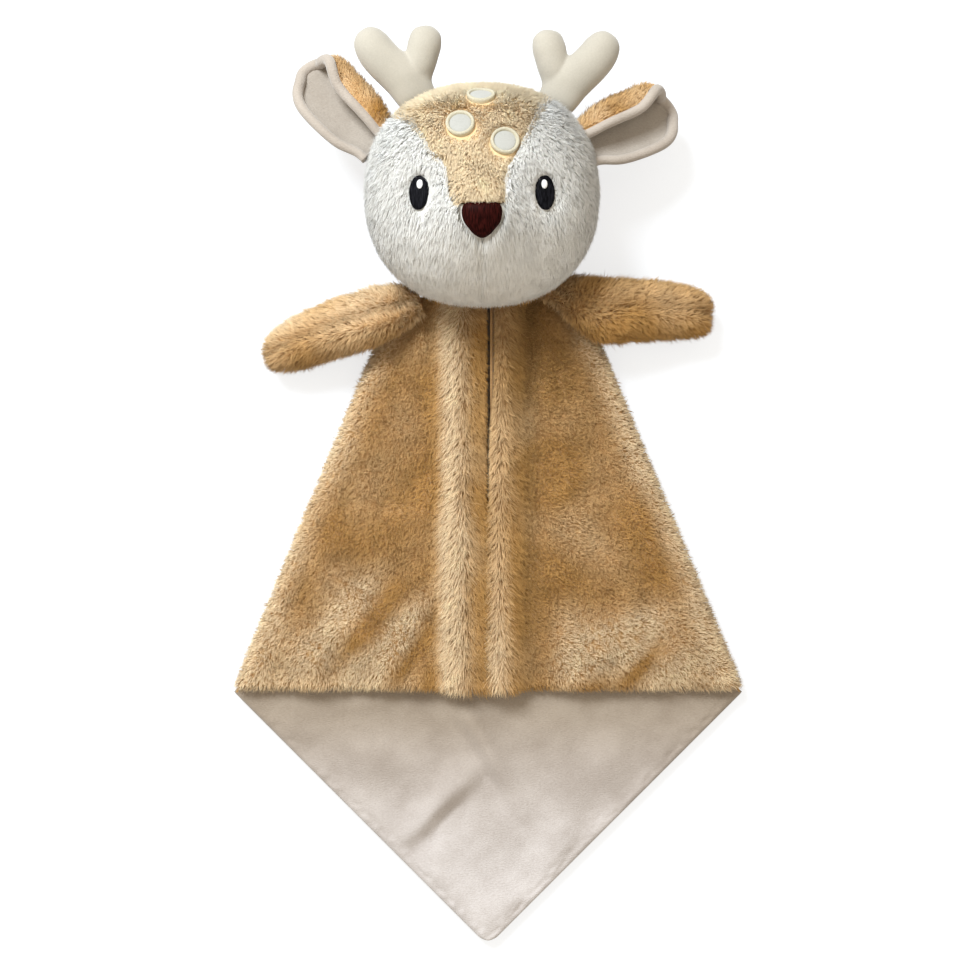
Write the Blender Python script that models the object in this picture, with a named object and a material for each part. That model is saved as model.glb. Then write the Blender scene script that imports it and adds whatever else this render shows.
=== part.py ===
"""Fawn comfort blanket, lying on its back: a stuffed head with ears and antlers, two stuffed arms, and a
square blanket whose sides fold in to the middle like a coat.

Units are metres. +X is the viewer's right, +Y points to the antlers, +Z is up out of the face.
The origin is the middle of the blanket square, on the flat underside that rests on a table.
"""
import math

import bmesh
import bpy
from mathutils import Matrix, Vector
from mathutils.bvhtree import BVHTree

MM = 0.001
DEG = math.pi / 180

# Clearances and shared modelling sizes
SEAM_GAP = 0.3 * MM
STUFFING_GAP = 0.7 * MM
OVERRUN = 10 * MM
REACH = 400 * MM
LEAST_HALF_WIDTH = 0.5 * MM
END_CLEAR = 1.3
NORMAL_STEP = 0.001

# Blanket: a square of plush lined with velour, its two upper sides folded to the diagonal
BLANKET_SIDE = 300 * MM
FOLD_HALF_ANGLE = 22.5 * DEG
PLUSH_THICKNESS = 5 * MM
LINING_THICKNESS = 2 * MM
FOLD_LIP = 5 * MM
CREASE_GAP = 0.2 * MM
FREE_EDGE_GAP = 1.2 * MM
EDGE_ROUND = 4.4 * MM
LINING_INSET = 1.5 * MM
TIP_RADIUS = 8 * MM
CORNER_INSET = 0.5 * MM
EDGE_STEP_SHARES = (0, 0.12, 0.45, 1)
WALL_SLANT = 0.1 * MM
EDGE_CROWDING = 2.6
HINGE_START = 188 * MM
ROLL_HEIGHT = 3.5 * MM
ROLL_CRESTS = {-1: 13 * MM, 1: 6.5 * MM}
ROLL_WIDTHS = {-1: 9.5 * MM, 1: 6.5 * MM}
BACK_INNER_COUNT = 6
BACK_OPEN_COUNT = 8
FLAP_INNER_COUNT = 7
FLAP_ROW_COUNT = 8
YOKE_ROW_COUNT = 4

# Neck: a gathered pad, round where the head turns on it and rolled where it meets the blanket
BLANKET_TOP_Y = 102.7 * MM
NECK_RADIUS = 11 * MM
NECK_HEIGHT = 12 * MM
NECK_DISC_RADIUS = 27 * MM
NECK_HALF_WIDTH = 24 * MM
NECK_SOCKET_RADIUS = 27.4 * MM
NECK_SOCKET_TOP = 23.3 * MM

# Head
HEAD_X = -3 * MM
HEAD_Y = 147.5 * MM
HEAD_Z = 39 * MM
HEAD_HALF_WIDTH = 54.5 * MM
HEAD_HALF_LENGTH = 50.5 * MM
HEAD_HALF_DEPTH = 41 * MM
HEAD_REST_Z = 0.6 * MM
HEAD_SQUARENESS = 2.3
MUZZLE_HEIGHT = 9 * MM
MUZZLE_SPREAD = 27 * DEG
MUZZLE_TILT = -18 * DEG
EYE_DENT = 2 * MM
EYE_DENT_SPREAD = 16 * DEG
EYE_SIDE = 36 * DEG
EYE_RISE = -4 * DEG
HEAD_SKIN = 3 * MM
SIDE_SEAM_Z = 31 * MM
HEAD_SEGMENT_COUNT = 28
HEAD_RING_COUNT = 18
CORE_SEGMENT_COUNT = 20
CORE_RING_COUNT = 12
BLAZE_SHARES = {
    # how far the caramel panel reaches to each side, and the height there, as shares of the head's half sizes
    -1: ((0.26, -0.2), (0.285, -0.02), (0.315, 0.14), (0.36, 0.23), (0.45, 0.3), (0.5, 0.44), (0.6, 0.58),
         (0.74, 0.68), (0.8, 0.84), (0.86, 1.3)),
    1: ((0.19, -0.2), (0.19, 0), (0.235, 0.14), (0.31, 0.28), (0.395, 0.48), (0.485, 0.69), (0.56, 0.8),
        (0.66, 0.95), (0.75, 1.3)),
}

# Embroidery on the face
FACE_GAP = 0.7 * MM
STITCH_HEIGHT = 0.9 * MM
EYE_SHARES = (0.54, -0.09)
EYE_HALF_WIDTH = 4.5 * MM
EYE_HALF_HEIGHT = 8 * MM
GLINT_INWARD = 1.2 * MM
GLINT_RISE = 3.6 * MM
GLINT_HALF_WIDTH = 1.5 * MM
GLINT_HALF_HEIGHT = 2.2 * MM
NOSE_SHARE = -0.37
NOSE_HALF_WIDTH = 9.8 * MM
NOSE_LENGTH = 17 * MM
NOSE_HEIGHT = 2.2 * MM
NOSE_TAPER_SHARE = 0.45
NOSE_SHOULDER_SHARE = 0.12
SPOT_RADIUS = 6.8 * MM
SPOT_RING = 1.7 * MM
SPOT_STITCH_HEIGHT = 1.3 * MM
SPOT_SHARES = ((-0.185, 0.55), (0.195, 0.375), (-0.01, 0.865))

# Ears: the place on the head, as shares of its half sizes, and the direction in which each points, by side
EAR_LENGTH = 49.5 * MM
EAR_HALF_WIDTH = 15.5 * MM
EAR_PLUSH = 2.6 * MM
EAR_LINING = 1.4 * MM
EAR_GAP = 0.6 * MM
EAR_ARC_SHARE = 2.75
EAR_LIP = 46 * DEG
EAR_LIP_END_SHARE = 0.34
EAR_CURL_KEYS = ((0, 160 * DEG), (0.55, 160 * DEG), (0.8, 128 * DEG), (1, 95 * DEG))
EAR_CURL_SHARES = (0.54, 0.9)
EAR_BASE_DROP = 3 * MM
EAR_ROOT_SHARE = 0.14
EAR_ROOT_GAP = 0.5 * MM
EAR_ROOT_SLANT = 0.28
EAR_ROW_SHARES = (0, 0.07, 0.24, 0.42, 0.6, 0.77, 0.89, 0.96, 1)
EAR_COLUMN_SHARES = (0, 0.08, 0.18, 0.3, 0.42, 0.54, 0.61, 0.68, 0.75, 0.82, 0.89, 0.95, 1)
EAR_ARC_COUNT = 100
EAR_WIDTH_KEYS = ((0, 0.68), (0.2, 0.94), (0.45, 1.02), (0.7, 1), (0.84, 0.9), (0.94, 0.7), (1, 0.44))
EAR_PLACES = {
    -1: ((-0.9, 0.515, 0.05), (-0.68, 0.72, -0.17)),
    1: ((0.936, 0.515, 0.05), (0.83, 0.4, -0.385)),
}

# Antlers: the place on the head, as shares of its half sizes, and each one's turn, by side
ANTLER_HEIGHT = 39 * MM
ANTLER_SKIN = 1.6 * MM
ANTLER_LIFT = -0.1 * MM
ANTLER_ROOT_SHARE = 0.16
ANTLER_SEGMENT_COUNT = 12
OUTER_PRONG = (
    # sideways, up, half width and half depth along the prong, as shares of the height
    (0, 0, 0.19, 0.03), (0, 0.035, 0.21, 0.1), (0.005, 0.1, 0.225, 0.15), (0.04, 0.22, 0.24, 0.185),
    (0.1, 0.37, 0.235, 0.2), (0.17, 0.53, 0.225, 0.21), (0.215, 0.68, 0.22, 0.205),
    (0.23, 0.81, 0.205, 0.185), (0.225, 0.91, 0.16, 0.145), (0.22, 0.97, 0.09, 0.08), (0.22, 1, 0, 0),
)
INNER_PRONG = (
    (-0.06, 0.17, 0.13, 0.11), (-0.15, 0.3, 0.175, 0.165), (-0.24, 0.43, 0.19, 0.185),
    (-0.32, 0.545, 0.195, 0.185), (-0.38, 0.65, 0.165, 0.15), (-0.41, 0.7, 0.1, 0.09), (-0.425, 0.73, 0, 0),
)
ANTLER_PLACES = {-1: ((-0.52, 0.84, 0.1), -2 * DEG), 1: ((0.61, 0.82, 0.08), 8 * DEG)}

# Arms: where each is sewn in, as shares of the neck's and the arm's half width, and its direction, by side
ARM_LENGTH = 79 * MM
ARM_HALF_WIDTH = 16 * MM
ARM_HALF_DEPTH = 12.5 * MM
ARM_SKIN = 3 * MM
ARM_SEGMENT_COUNT = 14
ARM_ROOT_RADIUS = 1 * MM
ARM_SQUARENESS = 2.2
ARM_SEAM_SHARES = {-1: 0.08, 1: 0.3}
ARM_KEYS = {
    # share of the length; shift towards the head and half width, as shares of the arm's half width; half
    # depth as a share of the arm's; and the height of the middle
    -1: (
        (0, 0.28, 0.42, 0.3, 20 * MM), (0.05, 0.33, 0.56, 0.4, 20.6 * MM), (0.15, 0.33, 0.79, 0.54, 22.3 * MM),
        (0.3, 0.275, 0.89, 0.78, 24 * MM), (0.5, 0.2, 0.875, 0.97, 19.5 * MM),
        (0.67, 0.125, 0.84, 1, 15.5 * MM),
        (0.81, 0.025, 0.77, 0.96, 13.4 * MM), (0.89, -0.05, 0.63, 0.84, 12.6 * MM),
        (0.95, -0.1, 0.45, 0.64, 12.2 * MM), (0.985, -0.13, 0.24, 0.4, 12 * MM), (1, -0.14, 0, 0, 12 * MM),
    ),
    1: (
        (0, 0.3, 0.42, 0.3, 20 * MM), (0.04, 0.34, 0.55, 0.38, 20.6 * MM), (0.11, 0.27, 0.79, 0.52, 22.3 * MM),
        (0.25, 0.05, 1, 0.76, 24 * MM), (0.45, 0.1, 0.96, 0.97, 19.5 * MM), (0.65, 0.16, 0.9, 1, 15 * MM),
        (0.79, 0.16, 0.8, 0.96, 13.2 * MM), (0.87, 0.13, 0.69, 0.84, 12.5 * MM),
        (0.925, 0.09, 0.54, 0.66, 12.2 * MM), (0.95, 0.07, 0.36, 0.46, 12 * MM), (0.96, 0.06, 0, 0, 12 * MM),
    ),
}
ARM_PLACES = {-1: (-1.23, 0.65, 192.5 * DEG), 1: (1.5, 0.45, -2.5 * DEG)}

# Worked out from the sizes above
APEX_Y = BLANKET_SIDE / math.sqrt(2)
HEM_Y = APEX_Y - BLANKET_SIDE
BACK_LINING_Z = PLUSH_THICKNESS + SEAM_GAP
BACK_TOP_Z = BACK_LINING_Z + LINING_THICKNESS
FOLD_Z = BACK_TOP_Z + SEAM_GAP / 2
FLAP_LINING_Z = BACK_TOP_Z + SEAM_GAP
FLAP_PLUSH_Z = FLAP_LINING_Z + LINING_THICKNESS + SEAM_GAP
FLAP_TOP_Z = FLAP_PLUSH_Z + PLUSH_THICKNESS
CREASE_DIRECTION = Vector((-math.sin(FOLD_HALF_ANGLE), -math.cos(FOLD_HALF_ANGLE), 0))
CREASE_LENGTH = BLANKET_SIDE / math.cos(FOLD_HALF_ANGLE)
NECK_Y = BLANKET_TOP_Y + SEAM_GAP + NECK_RADIUS
HEAD_CENTRE = Vector((HEAD_X, HEAD_Y, HEAD_Z))

# Materials: colour, roughness
MATERIALS = {
    "caramel_plush": ((0.72, 0.50, 0.27, 1), 0.95),
    "white_plush": ((0.90, 0.88, 0.83, 1), 0.95),
    "cream_velour": ((0.86, 0.81, 0.74, 1), 0.85),
    "brown_thread": ((0.13, 0.03, 0.02, 1), 0.6),
    "black_thread": ((0.015, 0.015, 0.02, 1), 0.5),
    "white_thread": ((0.90, 0.90, 0.88, 1), 0.5),
    "ivory_thread": ((0.90, 0.87, 0.74, 1), 0.5),
    "polyester_fill": ((0.92, 0.92, 0.92, 1), 1.0),
}


def clear_scene():
    """Removes whatever the file holds at the start."""
    for item in list(bpy.data.objects):
        bpy.data.objects.remove(item)


def material(name):
    """The Principled material of that name."""
    made = bpy.data.materials.get(name)
    if made is None:
        colour, roughness = MATERIALS[name]
        made = bpy.data.materials.new(name)
        made.use_nodes = True
        shader = made.node_tree.nodes["Principled BSDF"]
        shader.inputs["Base Color"].default_value = colour
        shader.inputs["Roughness"].default_value = roughness
        shader.inputs["Metallic"].default_value = 0
    return made


def add_object(name, mesh, finish=None, smooth=True):
    """Links a mesh as an object with its material."""
    made = bpy.data.objects.new(name, mesh)
    bpy.context.scene.collection.objects.link(made)
    if finish:
        mesh.materials.append(material(finish))
    if smooth:
        mesh.shade_smooth()
        mesh.set_sharp_from_angle(angle=45 * DEG)
    return made


def mesh_from(name, build):
    """Runs build on an empty bmesh and returns it as a mesh."""
    work = bmesh.new()
    build(work)
    bmesh.ops.recalc_face_normals(work, faces=work.faces)
    mesh = bpy.data.meshes.new(name)
    work.to_mesh(mesh)
    work.free()
    return mesh


def pivot(name, place):
    """An empty on a joint's axis. place is its 4x4 matrix in world space."""
    made = bpy.data.objects.new(name, None)
    bpy.context.scene.collection.objects.link(made)
    made.matrix_world = place
    return made


def hang(piece, parent):
    """Parents a piece to a joint's empty and leaves it where it is."""
    piece.parent = parent
    piece.matrix_parent_inverse = parent.matrix_world.inverted()
    return piece


def cutter(name, mesh, place=None):
    """A hidden tool for a Boolean."""
    made = add_object(name, mesh, smooth=False)
    made.hide_render = True
    made.display_type = "WIRE"
    if place is not None:
        made.matrix_world = place
    return made


def box_mesh(low, high):
    """A box between two corners."""
    size = Vector(high) - Vector(low)
    middle = (Vector(high) + Vector(low)) / 2

    def build(work):
        bmesh.ops.create_cube(work, size=1)
        for vertex in work.verts:
            vertex.co = Vector((vertex.co.x * size.x, vertex.co.y * size.y, vertex.co.z * size.z)) + middle

    return mesh_from("box", build)


def prism_mesh(outline, low, high):
    """A flat outline of (x, y) points, extruded from z = low to z = high."""

    def build(work):
        base = [work.verts.new((x, y, low)) for x, y in outline]
        face = work.faces.new(base)
        grown = bmesh.ops.extrude_face_region(work, geom=[face])
        lifted = [item for item in grown["geom"] if isinstance(item, bmesh.types.BMVert)]
        bmesh.ops.translate(work, verts=lifted, vec=(0, 0, high - low))

    return mesh_from("prism", build)


def cut(piece, tool, how="DIFFERENCE"):
    """Adds a Boolean with a hidden tool."""
    change = piece.modifiers.new(how.lower() + "_" + tool.name, "BOOLEAN")
    change.operation = how
    change.object = tool
    change.solver = "EXACT"


def thicken(piece, thickness, outwards=False):
    """Adds a Solidify whose wall lies inside the surface, or outside it."""
    wall = piece.modifiers.new("wall", "SOLIDIFY")
    wall.thickness = thickness
    wall.offset = 1 if outwards else -1


def swell(piece, distance):
    """Moves the surface along its normals, out for a positive distance."""
    change = piece.modifiers.new("swell", "DISPLACE")
    change.strength = distance
    change.mid_level = 0


def smooth_through(keys, share):
    """Reads a smooth curve through (share, value) keys at one share."""
    last = len(keys) - 1
    for index in range(last):
        if share <= keys[index + 1][0]:
            break
    before = keys[max(index - 1, 0)][1]
    start_share, start = keys[index]
    end_share, end = keys[index + 1]
    after = keys[min(index + 2, last)][1]
    t = (share - start_share) / (end_share - start_share)
    return 0.5 * (
        2 * start
        + (end - before) * t
        + (2 * before - 5 * start + 4 * end - after) * t * t
        + (3 * start - before - 3 * end + after) * t ** 3
    )


# Blanket

def kite_half_width(y):
    """Half the width of the folded blanket at y: the folded part, the open corner and its rounded tip."""
    if y >= HEM_Y:
        return (APEX_Y - y) * math.tan(FOLD_HALF_ANGLE)
    centre = -APEX_Y + TIP_RADIUS * math.sqrt(2)
    if y > centre - TIP_RADIUS / math.sqrt(2):
        return y + APEX_Y
    return math.sqrt(max(TIP_RADIUS ** 2 - (y - centre) ** 2, 0))


def round_drop(distance, radius):
    """How far a rounded edge falls at a distance from the edge."""
    if distance >= radius:
        return 0
    return radius - math.sqrt(radius ** 2 - (radius - distance) ** 2)


def ridge(x, y, start, end, height, width):
    """A soft fold: a bell across the line from start to end, fading at both ends."""
    along = Vector(end) - Vector(start)
    point = Vector((x, y)) - Vector(start)
    share = point.dot(along) / along.length_squared
    beyond = max(-share, share - 1, 0) * along.length
    across = (point - along * share).length
    return height * math.exp(-(across ** 2 + beyond ** 2) / (2 * width ** 2))


CORNER_FOLDS = (
    # start, end, height, width of each fold in the open corner, as shares of the side
    ((-0.045, -0.455), (-0.145, -0.53), 0.009, 0.022),
    ((-0.01, -0.40), (0.06, -0.53), 0.007, 0.025),
    ((0.17, -0.50), (0.12, -0.57), 0.008, 0.03),
    ((-0.19, -0.36), (-0.16, -0.46), 0.006, 0.03),
)
FLAP_FOLDS = (
    # start, end, height, width of each fold near a flap's hem, as shares of the side, on the right
    ((0.13, -0.27), (0.27, -0.16), 0.011, 0.03),
    ((0.26, -0.28), (0.31, -0.20), 0.008, 0.022),
)


def folds(x, y, table, side=1):
    """The height that a table of folds adds at a point."""
    total = 0
    for start, end, height, width in table:
        first = (start[0] * BLANKET_SIDE * side, start[1] * BLANKET_SIDE)
        second = (end[0] * BLANKET_SIDE * side, end[1] * BLANKET_SIDE)
        total += ridge(x, y, first, second, height * BLANKET_SIDE, width * BLANKET_SIDE)
    return total


def sheet_solid(name, under, over, finish):
    """A closed sheet between two grids of points, with a wall all round."""

    def build(work):
        low = [[work.verts.new(point) for point in row] for row in under]
        high = [[work.verts.new(point) for point in row] for row in over]
        last_row = len(under) - 1
        last_column = len(under[0]) - 1
        for i in range(last_row):
            for j in range(last_column):
                work.faces.new((high[i][j], high[i + 1][j], high[i + 1][j + 1], high[i][j + 1]))
                work.faces.new((low[i][j], low[i][j + 1], low[i + 1][j + 1], low[i + 1][j]))
        rim = [(0, j) for j in range(last_column)]
        rim += [(i, last_column) for i in range(last_row)]
        rim += [(last_row, j) for j in range(last_column, 0, -1)]
        rim += [(i, 0) for i in range(last_row, 0, -1)]
        for (i, j), (k, m) in zip(rim, rim[1:] + rim[:1]):
            work.faces.new((low[i][j], high[i][j], high[k][m], low[k][m]))

    return add_object(name, mesh_from(name, build), finish)


def slab(name, rows, finish):
    """A closed sheet from a grid of (x, y, low, high) rows."""
    under = [[(x, y, low) for x, y, low, high in row] for row in rows]
    over = [[(x, y, high) for x, y, low, high in row] for row in rows]
    return sheet_solid(name, under, over, finish)


def edge_steps(width, inner, plain=False):
    """Distances across a strip: a rounded edge and the lip's wall at both sides, even steps between."""
    near = [share * EDGE_ROUND for share in EDGE_STEP_SHARES] + [FOLD_LIP, FOLD_LIP + WALL_SLANT]
    if plain:
        near = [0, FOLD_LIP]
    squeeze = min(1, width / (EDGE_CROWDING * near[-1]))
    near = [step * squeeze for step in near]
    reach = near[-1]
    inner = int(inner)
    middle = [reach + (width - 2 * reach) * k / (inner + 1) for k in range(1, inner + 1)]
    far = [width - step for step in reversed(near)]
    return near + middle + far


def back_rows(lining):
    """The grid of the blanket's back, whole from the neck to the open corner."""
    rows = []
    inset = LINING_INSET if lining else 0
    top = BLANKET_TOP_Y - inset
    tangent_y = -APEX_Y + TIP_RADIUS / math.sqrt(2)
    bottom = -APEX_Y + TIP_RADIUS * (math.sqrt(2) - 1) + inset + CORNER_INSET
    folded = [top + (HEM_Y - top) * k / 3 for k in range(3)]
    hem = [HEM_Y + WALL_SLANT, HEM_Y, HEM_Y - EDGE_ROUND]
    spans = int(BACK_OPEN_COUNT)
    below_hem = HEM_Y - EDGE_ROUND
    open_part = [below_hem + (tangent_y - below_hem) * k / spans for k in range(1, spans + 1)]
    rounded = [tangent_y + (bottom - tangent_y) * share for share in (0.5, 0.85, 1)]
    for y in folded + hem + open_part + rounded:
        in_fold = y > HEM_Y
        half = kite_half_width(y) - CREASE_GAP
        if lining:
            half -= (FOLD_LIP + 2 * SEAM_GAP) if y >= HEM_Y else inset
        row = []
        fade = min(1, max(0, HEM_Y - EDGE_ROUND - y) / OVERRUN)
        for step in edge_steps(2 * half, BACK_INNER_COUNT, lining):
            edge = min(step, 2 * half - step)
            x = step - half
            lift = folds(x, y, CORNER_FOLDS) * fade
            if lining:
                low = BACK_LINING_Z + lift
                high = low + LINING_THICKNESS
            else:
                low = round_drop(edge, EDGE_ROUND)
                lip = in_fold and edge < FOLD_LIP + WALL_SLANT / 2
                high = BACK_TOP_Z if lip else PLUSH_THICKNESS + lift
            row.append((x, y, low, high))
        rows.append(row)
    return rows


def flap_rows(side, first, last, lining, hem):
    """The grid of one folded side between two distances along its crease. hem ends it in the level hem."""
    rows = []
    last_station = last - (LINING_INSET if lining and hem else 0)
    spans = int(FLAP_ROW_COUNT if hem else YOKE_ROW_COUNT)
    stations = [first + (last_station - first) * k / spans for k in range(spans + 1)]
    if hem and not lining:
        stations[-1:] = [last - EDGE_ROUND, last - EDGE_ROUND * EDGE_STEP_SHARES[2], last]
    across = Vector((math.cos(FOLD_HALF_ANGLE), -math.sin(FOLD_HALF_ANGLE), 0))
    apex = Vector((0, APEX_Y, 0))
    for station in stations:
        on_crease = Vector((CREASE_DIRECTION.x, CREASE_DIRECTION.y, 0)) * station + apex
        lean = max(station - first, 0) / (last - first) if hem else 0
        rise = across.lerp(Vector((1, 0, 0)), lean)
        if not hem:
            lean = max(last - station, 0) / (last - first)
            rise = across.lerp(Vector((1, 0, 0)), lean)
        length = -on_crease.x / rise.x
        start = (FOLD_LIP + 2 * SEAM_GAP) if lining else CREASE_GAP
        end = FREE_EDGE_GAP / 2 + (LINING_INSET / 2 if lining else 0)
        row = []
        width = length - start - end
        for step in edge_steps(width, FLAP_INNER_COUNT, lining):
            point = on_crease + rise * (start + step)
            free_side = length - start - step
            hem_side = last - station if hem else REACH
            roll = ROLL_HEIGHT * math.exp(-((free_side - ROLL_CRESTS[side]) / ROLL_WIDTHS[side]) ** 2)
            lift = roll + folds(-point.x, point.y, FLAP_FOLDS)
            if lining:
                low = FLAP_LINING_Z
                high = low + LINING_THICKNESS
            else:
                low = FLAP_LINING_Z if step < FOLD_LIP + WALL_SLANT / 2 else FLAP_PLUSH_Z
                edge = min(step, free_side, hem_side)
                high = FLAP_TOP_Z + lift - round_drop(max(edge, 0), EDGE_ROUND)
            row.append((-side * point.x, point.y, low, high))
        rows.append(row)
    return rows


def side_name(side):
    """left is the viewer's left, at -X."""
    return "left" if side < 0 else "right"


def build_blanket():
    """The back, whole, and each side as a fixed yoke at the neck and a flap that opens along its crease."""
    slab("blanket_back_plush", back_rows(False), "caramel_plush")
    slab("blanket_back_lining", back_rows(True), "cream_velour")
    neck_station = (APEX_Y - BLANKET_TOP_Y) / math.cos(FOLD_HALF_ANGLE)
    for side in (-1, 1):
        word = side_name(side)
        yoke = (neck_station, HINGE_START - SEAM_GAP)
        flap = (HINGE_START, CREASE_LENGTH)
        slab(f"yoke_{word}_plush", flap_rows(side, *yoke, False, False), "caramel_plush")
        slab(f"yoke_{word}_lining", flap_rows(side, *yoke, True, False), "cream_velour")
        middle = (HINGE_START + CREASE_LENGTH) / 2
        on_axis = Vector((0, APEX_Y, FOLD_Z)) + Vector(
            (-side * CREASE_DIRECTION.x, CREASE_DIRECTION.y, 0)
        ) * middle
        turn = Matrix.Rotation(side * FOLD_HALF_ANGLE, 4, "Z")
        hinge = pivot(f"flap_{word}_hinge", Matrix.Translation(on_axis) @ turn)
        hang(slab(f"flap_{word}_plush", flap_rows(side, *flap, False, True), "caramel_plush"), hinge)
        hang(slab(f"flap_{word}_lining", flap_rows(side, *flap, True, True), "cream_velour"), hinge)


# Forms

def tube_mesh(stations, segments, squareness=2):
    """A closed tube. Each station is (centre, direction, half width, half depth); the last is its tip."""
    segments = int(segments)

    def build(work):
        rings = []
        for centre, direction, half_width, half_depth in stations[:-1]:
            side = Vector((-direction.y, direction.x, 0)).normalized()
            ring = []
            for k in range(segments):
                angle = 2 * math.pi * (k + 0.5) / segments
                across = math.copysign(abs(math.cos(angle)) ** (2 / squareness), math.cos(angle))
                up = math.copysign(abs(math.sin(angle)) ** (2 / squareness), math.sin(angle))
                offset = side * half_width * across + Vector((0, 0, half_depth * up))
                ring.append(work.verts.new(centre + offset))
            rings.append(ring)
        tip = work.verts.new(stations[-1][0])
        work.faces.new(list(reversed(rings[0])))
        for ring, following in zip(rings, rings[1:]):
            for k in range(segments):
                m = (k + 1) % segments
                work.faces.new((ring[k], ring[m], following[m], following[k]))
        for k in range(segments):
            work.faces.new((rings[-1][k], rings[-1][(k + 1) % segments], tip))

    return mesh_from("tube", build)


def frame_at(place, along, up):
    """A 4x4 matrix with its X along one direction and its Z as near as it can be to another."""
    x_axis = Vector(along).normalized()
    z_axis = Vector(up) - x_axis * Vector(up).dot(x_axis)
    z_axis.normalize()
    y_axis = z_axis.cross(x_axis)
    turned = Matrix((x_axis, y_axis, z_axis)).transposed().to_4x4()
    return Matrix.Translation(place) @ turned


# Head

def head_radius(direction, inset=0):
    """The distance from the head's middle to its surface along a unit direction."""
    x, y, z = direction
    power = HEAD_SQUARENESS
    shares = (x / HEAD_HALF_WIDTH, y / HEAD_HALF_LENGTH, z / HEAD_HALF_DEPTH)
    reach = sum(abs(share) ** power for share in shares) ** (-1 / power)
    muzzle = Vector((0, math.sin(MUZZLE_TILT), math.cos(MUZZLE_TILT)))
    reach += MUZZLE_HEIGHT * math.exp(-(direction.angle(muzzle) / MUZZLE_SPREAD) ** 2)
    for side in (-1, 1):
        socket = Vector((side * math.sin(EYE_SIDE), math.sin(EYE_RISE), math.cos(EYE_SIDE)))
        reach -= EYE_DENT * math.exp(-(direction.angle(socket) / EYE_DENT_SPREAD) ** 2)
    return reach - inset


def head_surface(direction, lift=0):
    """A point on the head along a direction from its middle, flattened where it rests on the table."""
    unit = Vector(direction).normalized()
    point = HEAD_CENTRE + unit * (head_radius(unit) + lift)
    point.z = max(point.z, HEAD_REST_Z)
    return point


def head_normal(direction):
    """The outward normal of the head along a direction from its middle."""
    unit = Vector(direction).normalized()
    first = unit.orthogonal().normalized() * NORMAL_STEP
    second = unit.cross(first)
    point = head_surface(unit)
    normal = (head_surface(unit + first) - point).cross(head_surface(unit + second) - point)
    return normal.normalized()


def face_direction(x, y):
    """The direction from the head's middle to its front surface at a sideways and lengthwise offset."""
    low, high = 0, 2 * HEAD_HALF_DEPTH
    for _ in range(40):
        z = (low + high) / 2
        offset = Vector((x, y, z))
        if offset.length < head_radius(offset.normalized()):
            low = z
        else:
            high = z
    return Vector((x, y, low)).normalized()


def head_form_mesh(segments=HEAD_SEGMENT_COUNT, rings=HEAD_RING_COUNT):
    """The stuffed head: a soft ball with a muzzle, its poles at the cheeks."""

    def build(work):
        bmesh.ops.create_uvsphere(work, u_segments=int(segments), v_segments=int(rings), radius=1)
        bmesh.ops.rotate(work, verts=work.verts, matrix=Matrix.Rotation(90 * DEG, 3, "Y"))
        for vertex in work.verts:
            vertex.co = head_surface(vertex.co) - HEAD_CENTRE

    return mesh_from("head_form", build)


def blaze_outline(grow):
    """The caramel panel's outline seen from the front, from the nose up and over the crown."""
    edges = {}
    for side, shares in BLAZE_SHARES.items():
        edge = [(side * (HEAD_HALF_WIDTH * wide + grow), HEAD_HALF_LENGTH * long) for wide, long in shares]
        edge[0] = (edge[0][0], edge[0][1] - grow)
        edge[-1] = (edge[-1][0], edge[-1][1] + grow)
        edges[side] = edge
    return edges[1] + edges[-1][::-1]


def head_panel(name, finish, tools):
    """A plush shell of the head, kept or cut by (tool, operation) pairs."""
    piece = add_object(name, head_form_mesh(), finish)
    piece.matrix_world = Matrix.Translation(HEAD_CENTRE)
    thicken(piece, HEAD_SKIN)
    for tool, how in tools:
        cut(piece, tool, how)
    return piece


def patch_mesh(skin, centre, outline, low, high, hole_share=0, rings=2, segments=12):
    """A thin raised patch lying on the head's skin. outline gives (x, y) on the tangent plane by angle."""
    normal = centre.normalized()
    side = Vector((0, 1, 0)).cross(normal).normalized()
    rise = normal.cross(side)
    base = head_surface(centre) - HEAD_CENTRE

    def at(share, angle, lift):
        x, y = outline(angle)
        ray = (base + side * x * share + rise * y * share).normalized()
        return skin.ray_cast(ray * REACH, -ray)[0] + ray * lift

    def build(work):
        shares = [hole_share + (1 - hole_share) * k / rings for k in range(0 if hole_share else 1, rings + 1)]
        sheets = []
        for lift in (low, high):
            sheet = []
            for share in shares:
                edge = lift
                if lift == high and (share == 1 or share == hole_share):
                    edge = (low + 2 * high) / 3
                ring = [at(share, 2 * math.pi * k / segments, edge) for k in range(segments)]
                sheet.append([work.verts.new(point) for point in ring])
            sheets.append(sheet)
        for sheet, lift, flip in ((sheets[0], low, True), (sheets[1], high, False)):
            if not hole_share:
                middle = work.verts.new(at(0, 0, lift))
                for k in range(segments):
                    work.faces.new((middle, sheet[0][k], sheet[0][(k + 1) % segments]))
            for inner, outer in zip(sheet, sheet[1:]):
                for k in range(segments):
                    m = (k + 1) % segments
                    work.faces.new((inner[k], outer[k], outer[m], inner[m]))
        walls = [-1, 0] if hole_share else [-1]
        for wall in walls:
            under, over = sheets[0][wall], sheets[1][wall]
            for k in range(segments):
                m = (k + 1) % segments
                work.faces.new((under[k], over[k], over[m], under[m]))

    return mesh_from("patch", build)


def oval(half_width, half_height):
    """An oval outline."""
    return lambda angle: (half_width * math.cos(angle), half_height * math.sin(angle))


def nose_outline(angle):
    """A rounded triangle, broad above and narrow below."""
    x = math.cos(angle)
    y = math.sin(angle)
    narrow = 1 - NOSE_TAPER_SHARE * (1 - y) / 2
    return (NOSE_HALF_WIDTH * x * narrow * (1 + NOSE_SHOULDER_SHARE * y), NOSE_LENGTH / 2 * y)


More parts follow.
